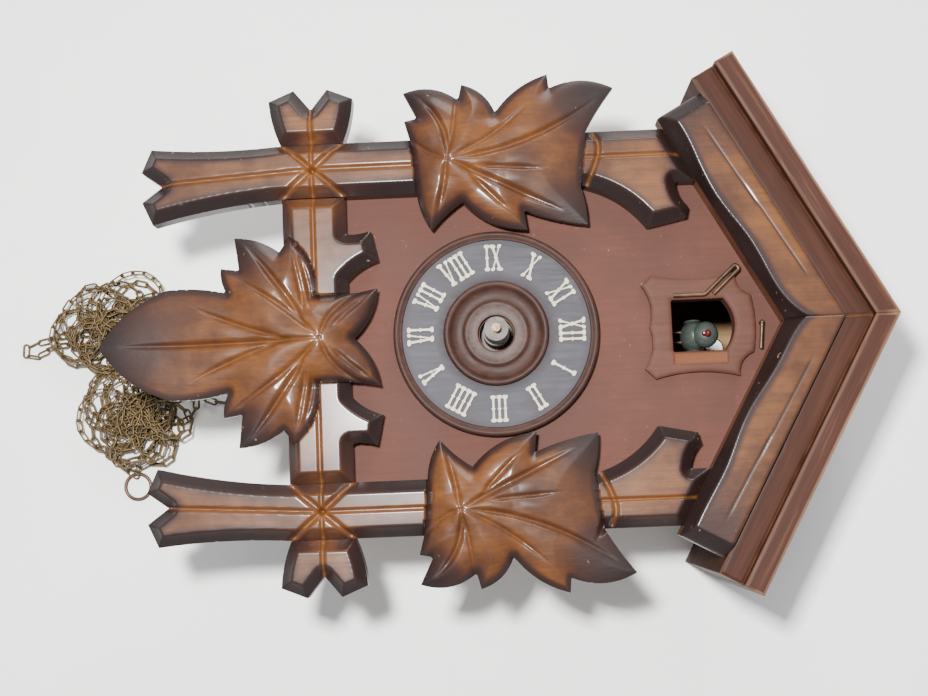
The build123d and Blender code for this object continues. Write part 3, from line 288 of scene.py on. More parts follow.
def dress_cad():
    """Give every CAD node the finish of its slot, but brown the centre arbor, whose end shows at the dial."""
    for name, node in frame["nodes"].items():
        node.data.materials.clear()
        node.data.materials.append(FINISHES[SLOT_OF[name]])
    frame["nodes"]["centre_arbor"].data.materials[0] = FINISHES["dark_wire"]


# --- making pieces ----------------------------------------------------------------------------------------
OUTLINE_STEP = 2.0     # spacing of the points along an outline
GRID_STEP = 0.5        # spacing of the points on a carved face
FADING = ("wear_and_shade", "burn_and_shade")     # attributes that a wall doesn't take on from its face
CURVE_COUNT = 24       # points along a Bezier curve


def outward(verts, groups):
    """Faces of a closed shape turned to point outwards: all are reversed if the shape's volume, the sum over
    its triangles of a . (b x c) / 6, comes out negative."""
    volume = 0.0
    for faces in groups:
        corners = verts[faces]
        for k in range(1, faces.shape[1] - 1):
            volume += np.sum(corners[:, 0] * np.cross(corners[:, k], corners[:, k + 1]))
    return groups if volume > 0 else [faces[:, ::-1] for faces in groups]


def piece(name, verts, groups, slot, body="case", smooth=True, replaces=(), attributes=None, sharp=None):
    """A piece from millimetre points and arrays of faces, riding on a body. attributes: a value for each
    point, by name. sharp: the pairs of points whose edges stay sharp."""
    data = bpy.data.meshes.new(name)
    data.from_pydata(place(verts), [], [face for faces in groups for face in faces.tolist()])
    data.polygons.foreach_set("use_smooth", np.full(len(data.polygons), smooth))
    for key, values in (attributes or {}).items():
        data.attributes.new(key, "FLOAT", "POINT").data.foreach_set("value", values.astype(np.float32))
    if sharp is not None:
        ends = np.empty(2 * len(data.edges), np.int32)
        data.edges.foreach_get("vertices", ends)
        marks = edge_number(sharp, len(verts))
        flags = np.isin(edge_number(ends.reshape(-1, 2), len(verts)), marks)
        data.attributes.new("sharp_edge", "BOOLEAN", "EDGE").data.foreach_set("value", flags)
    data.validate()
    data.materials.append(FINISHES[slot])
    obj = stand(name, data)
    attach(obj, body)
    if replaces:
        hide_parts(*replaces)
    return obj


def stand(name, data):
    """A new object with this data, in the scene, at the origin."""
    obj = bpy.data.objects.new(name, data)
    bpy.context.scene.collection.objects.link(obj)
    return obj


def edge_number(pairs, count):
    """One number for each pair of points, the same whichever way round the pair is."""
    low_high = np.sort(np.asarray(pairs, np.int64), axis=1)
    return low_high[:, 0] * count + low_high[:, 1]


def skin(rings, closed=False):
    """A tube over rings of points, rings[k, m] being point m of ring k: a quad between each two neighbours in
    both directions. A closed one joins its last ring to its first, and an open one has a cap at each end."""
    count, around = rings.shape[:2]
    k, m = np.meshgrid(np.arange(count if closed else count - 1), np.arange(around), indexing="ij")
    k2, m2 = (k + 1) % count, (m + 1) % around
    quads = np.stack([k * around + m, k * around + m2, k2 * around + m2, k2 * around + m], -1).reshape(-1, 4)
    ring = np.arange(around)[None]
    caps = [] if closed else [ring[:, ::-1], (count - 1) * around + ring]
    verts = rings.reshape(-1, 3)
    return verts, outward(verts, [quads, *caps])


def joined(parts):
    """Several (points, groups of faces) as one, the faces' numbers moved up past the points before them."""
    verts, groups, start = [], [], 0
    for v, own in parts:
        groups += [faces + start for faces in own]
        verts.append(v)
        start += len(v)
    return np.concatenate(verts), groups


def turned(profile, around, centre=(0.0, 0.0)):
    """A closed profile of (radius, z) carried round an upright line: x = r cos a, y = r sin a."""
    radius, z = np.array(profile, float).T
    angle = np.arange(around)[:, None] * 2 * math.pi / around
    rings = np.stack([centre[0] + radius * np.cos(angle), centre[1] + radius * np.sin(angle),
                      np.broadcast_to(z, (around, len(z)))], axis=-1)
    return skin(rings, closed=True)


def ball(centre, radii, rows=20, around=28):
    """A stretched ball: x = a sin v cos u, y = b sin v sin u, z = c cos v, its poles closed by tiny caps."""
    pole = 0.03
    v = np.linspace(pole, math.pi - pole, rows)[:, None]
    u = np.arange(around) * 2 * math.pi / around
    rings = np.stack([np.sin(v) * np.cos(u), np.sin(v) * np.sin(u), np.cos(v) + 0 * u], axis=-1)
    return skin(rings * np.array(radii) + np.array(centre))


def curve_points(points, step=OUTLINE_STEP):
    """Follow (x, y, bulge) points about every step: each run is a parabola that stands out to its left by
    bulge, 4 bulge s (1 - s) at share s of the run."""
    out = []
    for (x0, y0, bulge), (x1, y1, _) in zip(points, points[1:] + points[:1]):
        run = math.hypot(x1 - x0, y1 - y0)
        count = max(1, round(run / step))
        s = np.arange(count) / count
        lift = 4 * bulge * s * (1 - s) / run
        x = x0 + s * (x1 - x0) - lift * (y1 - y0)
        y = y0 + s * (y1 - y0) + lift * (x1 - x0)
        out.append(np.stack([x, y], axis=1))
    return np.concatenate(out)


def nearest_on(points, line, closed=False):
    """For each point: distance to a polyline, its nearest point, and the share of its length there."""
    a = line if closed else line[:-1]
    b = np.roll(line, -1, axis=0) if closed else line[1:]
    runs = np.linalg.norm(b - a, axis=1)
    start = np.concatenate([[0], np.cumsum(runs)[:-1]])
    best = np.full(len(points), np.inf)
    where = np.zeros_like(points)
    share = np.zeros(len(points))
    for p, q, run, before in zip(a, b, runs, start):
        if run < 1e-9:
            continue
        t = np.clip(((points - p) @ (q - p)) / run ** 2, 0, 1)
        foot = p + t[:, None] * (q - p)
        gap = np.hypot(*(points - foot).T)
        closer = gap < best
        best[closer] = gap[closer]
        where[closer] = foot[closer]
        share[closer] = (before + t[closer] * run) / runs.sum()
    return best, where, share


def rim_gap(points, rings):
    """Distance to the nearest of several closed rings, and the nearest point on it."""
    found = [nearest_on(points, ring, closed=True) for ring in rings]
    gaps = np.array([gap for gap, _, _ in found])
    nearest = gaps.argmin(0)
    feet = np.array([foot for _, foot, _ in found])
    return gaps.min(0), feet[nearest, np.arange(len(points))]


def inside_of(points, ring):
    """Even-odd test of points against a closed ring."""
    x, y = points.T
    flag = np.zeros(len(points), bool)
    for (x0, y0), (x1, y1) in zip(ring, np.roll(ring, -1, axis=0)):
        if y0 != y1:
            flag ^= ((y0 > y) != (y1 > y)) & (x < (x1 - x0) * (y - y0) / (y1 - y0) + x0)
    return flag


def unit(vectors):
    """Vectors brought to length 1."""
    return vectors / np.linalg.norm(vectors, axis=1, keepdims=True)


def soft_spot(points, x, y, size):
    """A round soft spot: exp(-(distance / size)^2)."""
    return np.exp(-(np.hypot(points[:, 0] - x, points[:, 1] - y) / size) ** 2)


def smooth_step(v, low, high):
    """0 below low, 1 above high, and 3t^2 - 2t^3 between."""
    t = np.clip((v - low) / (high - low), 0, 1)
    return t * t * (3 - 2 * t)


def board_grid(rings, step):
    """A square grid inside an outline with holes, its outer points pulled onto the outline: points, quads,
    and triangles where the outline cuts a cell's corner off. Points up to keep outside stay, those outside or
    within pull of the outline move onto it, and the one nearest to each of its points, within snap, moves
    there."""
    keep, pull, snap, sliver = 0.55 * step, 0.4 * step, 0.6 * step, 0.02 * step * step
    edge = np.concatenate(rings)
    low = edge.min(0) - 2 * step
    count = np.ceil((edge.max(0) + 2 * step - low) / step).astype(int)
    gx, gy = np.meshgrid(np.arange(count[0]), np.arange(count[1]), indexing="ij")
    pts = low + step * np.stack([gx.ravel(), gy.ravel()], axis=1)
    gap, foot = rim_gap(pts, rings)
    inside = np.zeros(len(pts), bool)
    for ring in rings:
        inside ^= inside_of(pts, ring)
    signed = np.where(inside, -gap, gap)
    kept = signed < keep
    pulled = np.flatnonzero(kept & (signed > -pull))
    pts[pulled] = foot[pulled]
    away = np.linalg.norm(pts[pulled][None] - edge[:, None], axis=2)
    close = away.min(1) < snap
    pts[pulled[away.argmin(1)[close]]] = edge[close]
    index = gx * count[1] + gy
    cells = np.stack([index[:-1, :-1], index[1:, :-1], index[1:, 1:], index[:-1, 1:]], axis=-1).reshape(-1, 4)
    held = kept[cells]
    three = held.sum(1) == 3
    groups = [cells[held.all(1)], cells[three][held[three]].reshape(-1, 3)]
    groups = [faces[face_area(pts, faces) > sliver] for faces in groups]
    used = np.unique(np.concatenate([faces.ravel() for faces in groups]))
    return pts[used], [np.searchsorted(used, faces) for faces in groups]


def face_area(points, faces):
    """Signed area of flat faces: half the sum of x1 y2 - x2 y1 over their edges."""
    x, y = points[faces].transpose(2, 0, 1)
    return 0.5 * np.sum(x * np.roll(y, -1, axis=1) - np.roll(x, -1, axis=1) * y, axis=1)


def rim_of(groups, count):
    """The edges that only one face has, each running the way that its face goes round."""
    edges = np.concatenate([np.stack([f, np.roll(f, -1, axis=1)], axis=-1).reshape(-1, 2) for f in groups])
    _, first, times = np.unique(edge_number(edges, count), return_index=True, return_counts=True)
    return edges[first[times == 1]]


def carve(name, outline, back, face, replaces, slot="carved_wood", holes=(), lip=0.0):
    """A carved board. face(points, gap to the rim) gives z of its face and a dictionary of attributes. The
    same grid at z = back closes it behind. Walls join the rims, with a band of height lip below the face, at
    whose foot the attributes in FADING are back at 0."""
    rings = [curve_points(line) for line in (outline, *holes)]
    flat, groups = board_grid(rings, GRID_STEP)
    z, marks = face(flat, rim_gap(flat, rings)[0])
    n = len(flat)
    rim = rim_of(groups, n)
    ledge = np.unique(rim)
    verts = [np.column_stack([flat, z])]
    walls, above = [], rim
    if lip:
        below = n + np.searchsorted(ledge, rim)
        verts.append(np.column_stack([flat[ledge], z[ledge] - lip]))
        walls.append(np.stack([above[:, 1], above[:, 0], below[:, 0], below[:, 1]], axis=1))
        above = below
    start = sum(map(len, verts))
    verts.append(np.column_stack([flat, np.full(n, back)]))
    walls.append(np.stack([above[:, 1], above[:, 0], start + rim[:, 0], start + rim[:, 1]], axis=1))
    attributes = {}
    for key, value in marks.items():
        rest = value * (0.0 if lip and key in FADING else 1.0)
        attributes[key] = np.concatenate([value] + ([rest[ledge]] if lip else []) + [rest])
    return piece(name, np.concatenate(verts), groups + walls + [start + f[:, ::-1] for f in groups], slot,
                 attributes=attributes, sharp=np.concatenate([rim, start + rim]), replaces=replaces)


def bezier(*points):
    """Points of a Bezier curve: neighbours are mixed by s again and again until one is left."""
    s = np.linspace(0, 1, CURVE_COUNT)[:, None]
    level = [np.array(p, float) + 0 * s for p in points]
    while len(level) > 1:
        level = [(1 - s) * a + s * b for a, b in zip(level, level[1:])]
    return level[0]


def groove(points, line, width, depth, taper=0.0):
    """V-shaped cut along a line: how deep it is at each point, and how close that is to the cut's middle. The
    depth is depth * reach * fade. reach falls evenly from 1 on the line to 0 at the cut's side, and fade from
    1 to 0 over the last taper of the line and half as much of its start, where 0.15 is left."""
    gap, _, share = nearest_on(points, line)
    fade = np.ones_like(share)
    if taper:
        fade = np.clip((1 - share) / taper, 0, 1) * np.clip(share / (0.5 * taper), 0.15, 1)
    reach = np.clip(1 - gap / (width * (0.35 + 0.65 * fade)), 0, 1)
    return depth * reach * fade, reach * fade


def flip(outline):
    """Mirror image of an outline, still turning the same way."""
    xy = [(-x, y) for x, y, _ in outline]
    bulges = [b for _, _, b in outline]
    count = len(outline)
    return [(*xy[-k % count], bulges[(-k - 1) % count]) for k in range(count)]


SIDES = ((1, "right"), (-1, "left"))


def sided(outline, side):
    """An outline drawn on the right, or its mirror image for the left."""
    return outline if side > 0 else flip(outline)


def sided_cuts(cuts, side):
    """Cuts (line, half width, depth), or their mirror image."""
    return [(line * (side, 1.0), width, depth) for line, width, depth in cuts]


def sided_spots(spots, side):
    """Spots (x, y, size, strength), or their mirror image."""
    return [(side * x, y, size, strength) for x, y, size, strength in spots]


def other_side(half):
    """The mirror image of half an outline, its points the other way round to go on from it: each run's bulge
    moves to the point that now starts it, and the last point's is 0."""
    bulges = [bulge for _, _, bulge in half[-2::-1]] + [0.0]
    return [(-x, y, bulge) for (x, y, _), bulge in zip(half[::-1], bulges)]


# --- leaves -----------------------------------------------------------------------------------------------
LEAF_RIM = 3.2         # thickness of a leaf at its rim
LEAF_MIN = 1.2         # and the least that a cut leaves
CROWN = 5.5            # distance from the rim over which a leaf rises
DROOP = 4.2            # how much lower its lobes' ends are than the junction
VALLEY_W, VALLEY = 7.0, 0.9      # half width and depth of the soft valley along each vein
VEIN_TONE = 0.2        # share of the pale colour of a fresh cut that a vein shows


def leaf_face(junction, veins, tips, folds):
    """Face of a leaf. It rises from the rim by 1 - exp(-gap / CROWN), to a height that falls off from the
    junction as 0.55 + 0.45 exp(-out / 45), less a smooth step of DROOP. A valley and a V cut run along each
    vein, and a plain V cut along each fold. The edge and the tips, as spots, are sprayed dark."""
    rise_to = LEAF_Z - LEAF_BACK - LEAF_RIM

    def face(p, gap):
        out = np.hypot(*(p - np.array(junction)).T)
        rise = 1 - np.exp(-gap / CROWN)
        droop = DROOP * smooth_step(out, 8, 62)
        z = LEAF_BACK + LEAF_RIM + rise_to * rise * (0.55 + 0.45 * np.exp(-out / 45)) - droop * rise
        cut = np.zeros(len(p))
        for line, width, depth in veins:
            deep, near = groove(p, line, width, depth, taper=0.35)
            valley, _ = groove(p, line, VALLEY_W, 1.0, taper=0.6)
            z = z - deep - valley ** 2 * (3 - 2 * valley) * VALLEY
            cut = np.maximum(cut, near)
        for line, width, depth in folds:
            z = z - groove(p, line, width, depth, taper=0.3)[0]
        burn_and_shade = 0.85 * np.exp(-(gap / 2.6) ** 2)
        for x, y, size, strength in tips:
            burn_and_shade = np.maximum(burn_and_shade, strength * soft_spot(p, x, y, size))
        return np.maximum(z, LEAF_BACK + LEAF_MIN), {"burn_and_shade": burn_and_shade, "cut": cut * VEIN_TONE}
    return face


# The right-hand leaf as (x, y, bulge of the run that follows).
SIDE_LEAF = [
    (93.5, -32.0, -3.0), (90.0, -11.0, 0.0), (96.0, -9.5, -2.2), (84.5, 3.0, -2.2), (98.5, 23.5, 0.0),
    (93.0, 24.0, -3.0), (92.0, 48.5, 0.4), (76.0, 37.5, 0.0), (54.0, 34.5, -0.6), (39.5, 36.5, -0.8),
    (46.0, 12.5, 0.0), (38.5, 13.5, -3.0), (50.5, -11.0, 0.6), (40.0, -23.0, -1.0), (53.5, -28.0, 0.0),
    (75.0, -30.0, 0.0), (82.5, -32.0, 0.0), (83.5, -27.0, 0.0),
]
SIDE_JUNCTION = (66.0, -16.0)
# Dark places, as spots (x, y, size, strength).
SIDE_TIPS = [(93, -30, 14, 1.0), (92, 44, 22, 1.0), (40, 35, 17, 0.95), (96, 22, 9, 0.35), (39, -22, 7, 0.4),
             (60, 10, 14, 0.3)]
# Veins, as cuts (line, half width, depth).
SIDE_VEINS = [
    (bezier(SIDE_JUNCTION, (82, -14), (93, -29)), 1.5, 1.5),
    (bezier(SIDE_JUNCTION, (80, -12), (91, -12)), 1.1, 0.9),
    (bezier(SIDE_JUNCTION, (72, 0), (88, 17)), 1.2, 1.1),
    (bezier(SIDE_JUNCTION, (68, 14), (88, 42)), 1.6, 1.5),
    (bezier((63, -6), (62, 12), (61, 24)), 1.2, 1.2),
    (bezier(SIDE_JUNCTION, (58, 0), (45, 28)), 1.7, 1.7),
    (bezier((61, -8), (52, 0), (44, 9)), 1.4, 1.3),
    (bezier(SIDE_JUNCTION, (52, -18), (45, -21)), 1.5, 1.4),
    (bezier(SIDE_JUNCTION, (68, -24), (76, -30)), 1.3, 1.2),
]
SIDE_FOLD = (bezier((79, 34), (70, 42), (52, 37)), 2.2, 2.4)      # across the stalk, on the right leaf only

# The right half of the bottom leaf, from its notch at the top to its tip.
LOW_HALF = [
    (0.0, -54.0, 2.0), (18.5, -44.5, -1.0), (17.0, -68.0, 3.6), (39.5, -77.5, 0.0), (34.0, -81.5, 1.5),
    (40.0, -98.5, 0.0), (27.5, -97.0, 0.0), (28.5, -104.0, 0.8), (19.0, -102.0, 1.0), (21.0, -125.0, 3.0),
]
LOW_LEAF = LOW_HALF + [(0.0, -151.5, 3.0)] + other_side(LOW_HALF)[:-1]
LOW_JUNCTION = (0.0, -66.0)
LOW_TIPS = [(0, -150, 24, 1.0), (38, -97, 13, 1.0), (-38, -97, 13, 1.0), (12, -54, 9, 0.5),
            (-12, -54, 9, 0.4), (37, -77, 5, 0.5), (-37, -77, 5, 0.5), (20, -122, 10, 0.3)]
LOW_VEINS = [(bezier(LOW_JUNCTION, (1, -100), (0, -144)), 1.7, 1.9)]
for side in (-1, 1):
    LOW_VEINS += [
        (bezier((0, -78), (side * 6, -100), (side * 15, -117)), 1.5, 1.4),
        (bezier(LOW_JUNCTION, (side * 14, -80), (side * 26, -101)), 1.4, 1.3),
        (bezier((side * 6, -72), (side * 20, -80), (side * 38, -95)), 1.7, 1.7),
        (bezier((side * 10, -72), (side * 22, -74), (side * 36, -77)), 1.3, 1.2),
        (bezier((side * 12, -70), (side * 22, -70), (side * 33, -74)), 1.2, 1.1),
        (bezier((side * 4, -62), (side * 10, -56), (side * 17, -46)), 1.3, 1.2),
        (bezier(LOW_JUNCTION, (side * 12, -64), (side * 17.5, -50)), 1.3, 1.2),
    ]


def build_leaves():
    """A leaf on each side, the left one without the fold, and the bottom one."""
    for side, name in SIDES:
        junction = (side * SIDE_JUNCTION[0], SIDE_JUNCTION[1])
        face = leaf_face(junction, sided_cuts(SIDE_VEINS, side), sided_spots(SIDE_TIPS, side),
                         [SIDE_FOLD] if side > 0 else [])
        carve(name + "_leaf_carved", sided(SIDE_LEAF, side), LEAF_BACK, face, [name + "_leaf"])
    carve("bottom_leaf_carved", LOW_LEAF, LEAF_BACK, leaf_face(LOW_JUNCTION, LOW_VEINS, LOW_TIPS, []),
          ["bottom_leaf"])


# --- branches ---------------------------------------------------------------------------------------------
RAIL_X = 65.0          # middle of an upright branch
BRANCH_HALF = 10.5     # and half its width
LOW_Y = -68.0          # middle of the bottom branch
LOW_HALF_W = 12.0      # and half its width
END_X, END_Y = 61.5, -134.0      # lower end of an upright branch
STUB_X = 97.0          # outer end of a stub
FLARE, NOTCH = 4.2, 8.0          # how much a fishtail widens, and the depth of its notch
FIT = 0.1              # gap between two branches, and to the trims
BEVEL_W, BEVEL = 4.2, 4.4        # width and depth of a branch's bevel
CROSSING = (RAIL_X, LOW_Y)


def branch_face(grooves, paler):
    """Face of a branch: bevelled along its whole rim by BEVEL (1 - gap / BEVEL_W)^0.9, with V grooves, which
    are shallower near the rim. The bevel and a little more are sprayed dark, less so at the paler spots."""
    def face(p, gap):
        z = BRANCH_Z - BEVEL * np.clip(1 - gap / BEVEL_W, 0, 1) ** 0.9
        cut = np.zeros(len(p))
        for line, width, depth in grooves:
            deep, near = groove(p, line, width, depth)
            z = z - deep * np.clip(gap / 1.5, 0.3, 1)
            cut = np.maximum(cut, near)
        burn_and_shade = 1 - smooth_step(gap, 0.5 * BEVEL_W, 1.9 * BEVEL_W)
        for x, y, size, share in paler:
            burn_and_shade = burn_and_shade * (1 - share * soft_spot(p, x, y, size))
        return z, {"burn_and_shade": burn_and_shade, "cut": cut}
    return face


def lapped(face, leaf):
    """A branch's face, lowered under a leaf until it just enters the leaf's back."""
    ring = curve_points(leaf)
    entered = LEAF_BACK + 0.5

    def lowered(p, gap):
        z, attributes = face(p, gap)
        under = inside_of(p, ring)
        return np.where(under, np.minimum(z, entered), z), attributes
    return lowered


def fishtail(x, y, direction, half_w):
    """Five points of a forked end about (x, y): u runs along the branch, out of its end, and v across it."""
    dx, dy = direction
    wide = half_w + FLARE
    local = [(-4, -wide), (0, -wide * 0.4), (-NOTCH, 0), (0, wide * 0.4), (-4, wide)]
    return [(x + u * dx - v * dy, y + u * dy + v * dx, 0) for u, v in local]


def trim_y(x):
    """Height of the trims' lower line at x, less the fit."""
    return GABLE_Y - TRIM_W / math.cos(ROOF_ANGLE) - FIT - abs(x) * math.tan(ROOF_ANGLE)


def build_uprights():
    """The two upright branches, the left one a mirror image: from the trim past the twig and the crossing to
    the forked end. Grooves are (line, half width, depth)."""
    inner, outer = RAIL_X - BRANCH_HALF, RAIL_X + BRANCH_HALF
    low, high = LOW_Y - LOW_HALF_W, LOW_Y + LOW_HALF_W
    end = fishtail(END_X, END_Y, (0, -1), BRANCH_HALF)
    outline = [(inner, trim_y(inner), 0.0), (inner, 70.5, 1.0), (45.0, 75.0, 0.0), (41.0, 74.0, 0.0),
               (38.0, 59.5, 2.5), (inner, 36.0, 0.0), (inner, low, 1.2), *end[:-1], (*end[-1][:2], 1.2),
               (outer, low, 0.0), (outer, trim_y(outer), 0.0)]
    grooves = [
        (np.array([(RAIL_X, trim_y(RAIL_X)), CROSSING, (END_X, END_Y + NOTCH)]), 1.0, 1.3),
        (np.array([(inner, low), (outer, high)]), 1.5, 1.9),
        (np.array([(inner, high), (outer, low)]), 1.5, 1.9),
        (bezier((74, 40), (68, 44), (62, 40), (55, 37)), 1.3, 1.5),
        (np.array([(inner, LOW_Y), (outer, LOW_Y)]), 1.0, 1.3),
    ]
    paler = [(*CROSSING, 16, 0.9), (RAIL_X, 55, 10, 0.5)]
    for side, name in SIDES:
        face = branch_face(sided_cuts(grooves, side), sided_spots(paler, side))
        carve(name + "_branch_carved", sided(outline, side), PANEL_Z, lapped(face, sided(SIDE_LEAF, side)),
              [name + "_branch"])


def build_crossings():
    """The bottom branch between the uprights, with its two twigs, and the stub outside each upright."""
    low, high = LOW_Y - LOW_HALF_W, LOW_Y + LOW_HALF_W
    start = RAIL_X + BRANCH_HALF + FIT
    end = fishtail(STUB_X, LOW_Y, (1, 0), LOW_HALF_W)
    stub = [(start, low, -0.8), *end[:-1], (*end[-1][:2], -0.8), (start, high, 0.0)]
    grooves = [(np.array([(start - 2, LOW_Y), (STUB_X - NOTCH, LOW_Y)]), 1.0, 1.3)]
    for side, name in SIDES:
        face = branch_face(sided_cuts(grooves, side), [(side * start, LOW_Y, 9, 0.8)])
        carve(name + "_stub_carved", sided(stub, side), PANEL_Z, face, ["branch_stubs"])
    inner = RAIL_X - BRANCH_HALF - FIT
    twig = [(40.0, -56.0, 0.6), (41.0, -46.5, 0.0), (29.5, -44.0, 1.0), (22.0, -56.0, 0.0)]
    outline = [(-inner, low, 0.0), (inner, low, 0.0), (inner, high, 0.0), *twig, *other_side(twig),
               (-inner, high, 0.0)]
    grooves = [(np.array([(-inner, LOW_Y), (inner, LOW_Y)]), 1.0, 1.3)]
    paler = [(-inner, LOW_Y, 16, 0.85), (inner, LOW_Y, 16, 0.85)]
    carve("bottom_branch_carved", outline, PANEL_Z, lapped(branch_face(grooves, paler), LOW_LEAF),
          ["bottom_branch"])


# --- chains -----------------------------------------------------------------------------------------------
CHAIN_W = 3.4          # outer width of a link
WIRE = 0.95            # thickness of its wire
LINK_PITCH = 4.9       # from one link to the next
PER_TURN = 12          # points in each loop of the heap
TURNS = 11             # loops of each strand
TAIL_AFTER = 6         # loops that the strike ring's strand makes before its tail
START_TWIST = 0.785    # an eighth of a turn, the first link's
TWIST_WANDER = 0.35    # how far the twist wanders, as a share of the sum of its random steps
CURVE_STEPS = 12       # points that a smooth curve has for each control point
HOOK_WIRE = 0.8        # half thickness of the wire of the rings and hooks
RING_R = 5.6           # middle of the wire of a ring
HANG_Y = -80.0         # the bottom board's outer face


def nurbs_line(name, points):
    """A smooth curve with these control points, and the points along it."""
    data = bpy.data.curves.new(name, "CURVE")
    data.dimensions = "3D"
    spline = data.splines.new("NURBS")
    spline.points.add(len(points) - 1)
    for control, p in zip(spline.points, place(points)):
        control.co = (*p, 1.0)
    spline.order_u = 3
    spline.use_endpoint_u = True
    data.resolution_u = CURVE_STEPS
    obj = stand(name, data)
    line = bpy.data.meshes.new_from_object(obj)
    co = np.empty(len(line.vertices) * 3)
    line.vertices.foreach_get("co", co)
    bpy.data.objects.remove(obj)
    bpy.data.meshes.remove(line)
    return co.reshape(-1, 3)


def even_points(line, step):
    """Points a fixed distance apart along a polyline."""
    runs = np.linalg.norm(np.diff(line, axis=0), axis=1)
    s = np.concatenate([[0], np.cumsum(runs)])
    at = np.arange(0, s[-1], step)
    return np.stack([np.interp(at, s, line[:, k]) for k in range(3)], axis=1)


def link_mesh():
    """One chain link, long axis x: the wire's circle carried round a stadium, two half circles of radius r
    whose middles are a straight apart. Few faces, because there are hundreds of links."""
    along, around = 14, 4
    r = (CHAIN_W - WIRE) / 2
    straight = LINK_PITCH + WIRE - 2 * r
    a = (np.arange(along)[:, None] + 0.5) * 2 * math.pi / along
    b = np.arange(around) * 2 * math.pi / around
    reach = r + WIRE / 2 * np.cos(b)
    rings = np.stack([np.sign(np.cos(a)) * straight / 2 + reach * np.cos(a), reach * np.sin(a),
                      WIRE / 2 * np.sin(b) + 0 * a], axis=-1)
    return skin(rings, closed=True)


def chain_piece(name, points, seed):
    """Links along a route, each turned a quarter from the last about the route, with a slow wandering twist.
    A link's corner goes to spot + x' ahead + y' (side cos t + up sin t) + z' (up cos t - side sin t). Where
    the route is steep, side is worked out from y instead of z."""
    line = nurbs_line(name + "_route", points)
    spots = even_points(line, LINK_PITCH * MM)
    ahead = unit(np.gradient(spots, axis=0))
    side = np.cross([0.0, 0.0, 1.0], ahead)
    steep = np.linalg.norm(side, axis=1) < 0.2
    side[steep] = np.cross([0.0, 1.0, 0.0], ahead[steep])
    side = unit(side)
    up = np.cross(ahead, side)
    count = len(spots)
    twist = START_TWIST + TWIST_WANDER * np.cumsum(np.random.default_rng(seed).uniform(-0.6, 0.6, count))
    twist = (twist + np.arange(count) % 2 * math.pi / 2)[:, None]
    basis = np.stack([ahead, np.cos(twist) * side + np.sin(twist) * up,
                      np.cos(twist) * up - np.sin(twist) * side], axis=1)
    verts, groups = link_mesh()
    links = np.einsum("vi,kij->kvj", verts * MM, basis) + spots[:, None]
    links[..., 1] -= DIAL_Y
    start = (np.arange(count) * len(verts))[:, None, None]
    faces = [(f[None] + start).reshape(-1, f.shape[1]) for f in groups]
    return piece(name, links.reshape(-1, 3) / MM, faces, "chain_brass"), line


def wire_piece(name, points, replaces):
    """A round wire: its circle carried along a NURBS route, square to the route, and closed at both ends."""
    around = 12
    pts = even_points(nurbs_line(name + "_route", points), 0.5 * MM) / MM
    pts[:, 1] -= DIAL_Y / MM
    ahead = unit(np.gradient(pts, axis=0))
    side = unit(np.cross(ahead, [0.0, 0.0, 1.0]))
    up = np.cross(side, ahead)
    angle = (np.arange(around) * 2 * math.pi / around)[None, :, None]
    rings = pts[:, None] + HOOK_WIRE * (np.cos(angle) * side[:, None] + np.sin(angle) * up[:, None])
    return piece(name, *skin(rings), "dark_wire", replaces=replaces)


# Where each strand leaves the case (x, z), where it reaches the heap (x, y), and its length in metres.
STRANDS = {
    ("strike", "hook"): ((-29.0, 68.0), (-16.0, -140.0), 0.75),
    ("strike", "ring"): ((-11.0, 68.0), (-7.0, -137.0), 0.98),
    ("time", "hook"): ((5.0, 58.0), (3.0, -134.0), 0.74),
    ("time", "ring"): ((23.0, 58.0), (14.0, -131.0), 0.92),
}
# The middles of the loops, in the order that the strand passes them.
LOBES = {
    "time": [(8.0, -146.0), (20.0, -147.0), (30.0, -152.0), (33.0, -161.0), (24.0, -167.0), (13.0, -161.0),
             (8.0, -171.0), (18.0, -176.0), (29.0, -168.0), (20.0, -157.0), (11.0, -153.0), (24.0, -160.0)],
    "strike": [(-13.0, -149.0), (-24.0, -153.0), (-32.0, -161.0), (-27.0, -171.0), (-16.0, -164.0),
               (-11.0, -175.0), (-20.0, -182.0), (-30.0, -174.0), (-18.0, -190.0), (-12.0, -181.0),
               (-10.0, -163.0), (-21.0, -166.0)],
}
# The last points of each strand, down to its ring or hook.
ENDS = {
    ("time", "ring"): [(36.0, -174.0, 6.0), (41.5, -170.0, 2.4), (45.4, -164.0, 1.8)],
    ("time", "hook"): [(18.0, -144.0, 9.5), (10.5, -149.5, 8.0)],
    ("strike", "ring"): [(-20.0, -172.0, 9.5), (-14.0, -167.6, 7.5)],
    ("strike", "hook"): [(-22.0, -154.0, 9.5), (-31.0, -159.0, 8.0)],
}
# The narrow loop that lies past the heap.
TAIL = [(-14.0, -196.0, 4.0), (-10.0, -203.0, 2.4), (-8.0, -209.0, 1.9), (-12.0, -212.0, 1.9),
        (-14.5, -208.0, 1.9), (-15.5, -201.0, 2.4), (-18.0, -193.0, 4.0)]
# Middles of the rings (x, y, z), and where the hooks' straight arms start (x, y).
RINGS_AT = {"time": (51.0, -162.0, 0.8), "strike": (-14.0, -162.0, 5.0)}
HOOKS_AT = {"time": (10.0, -150.0), "strike": (-32.0, -160.0)}
HOOK_BEND = [(0, 0), (0, -4), (0, -8), (1, -10.2), (3.5, -11), (6, -10.2), (7, -8), (7, -3)]
HOOK_Z = 5.0


def lead_points(key):
    """The route from the hole in the bottom board down to the bench and on to the heap."""
    (x, z), (ex, ey), _ = STRANDS[key]
    y = HANG_Y
    mid = (x + ex) / 2
    lie = CHAIN_W / 2
    return [(x, y, z), (x, y - 12, z - 4), (x, y - 17, z - 20), (x, y - 19, z * 0.34), (mid, y - 29, 6.5),
            (ex * 0.7 + mid * 0.3, y - 42, lie + 0.2), (ex, ey, lie)]


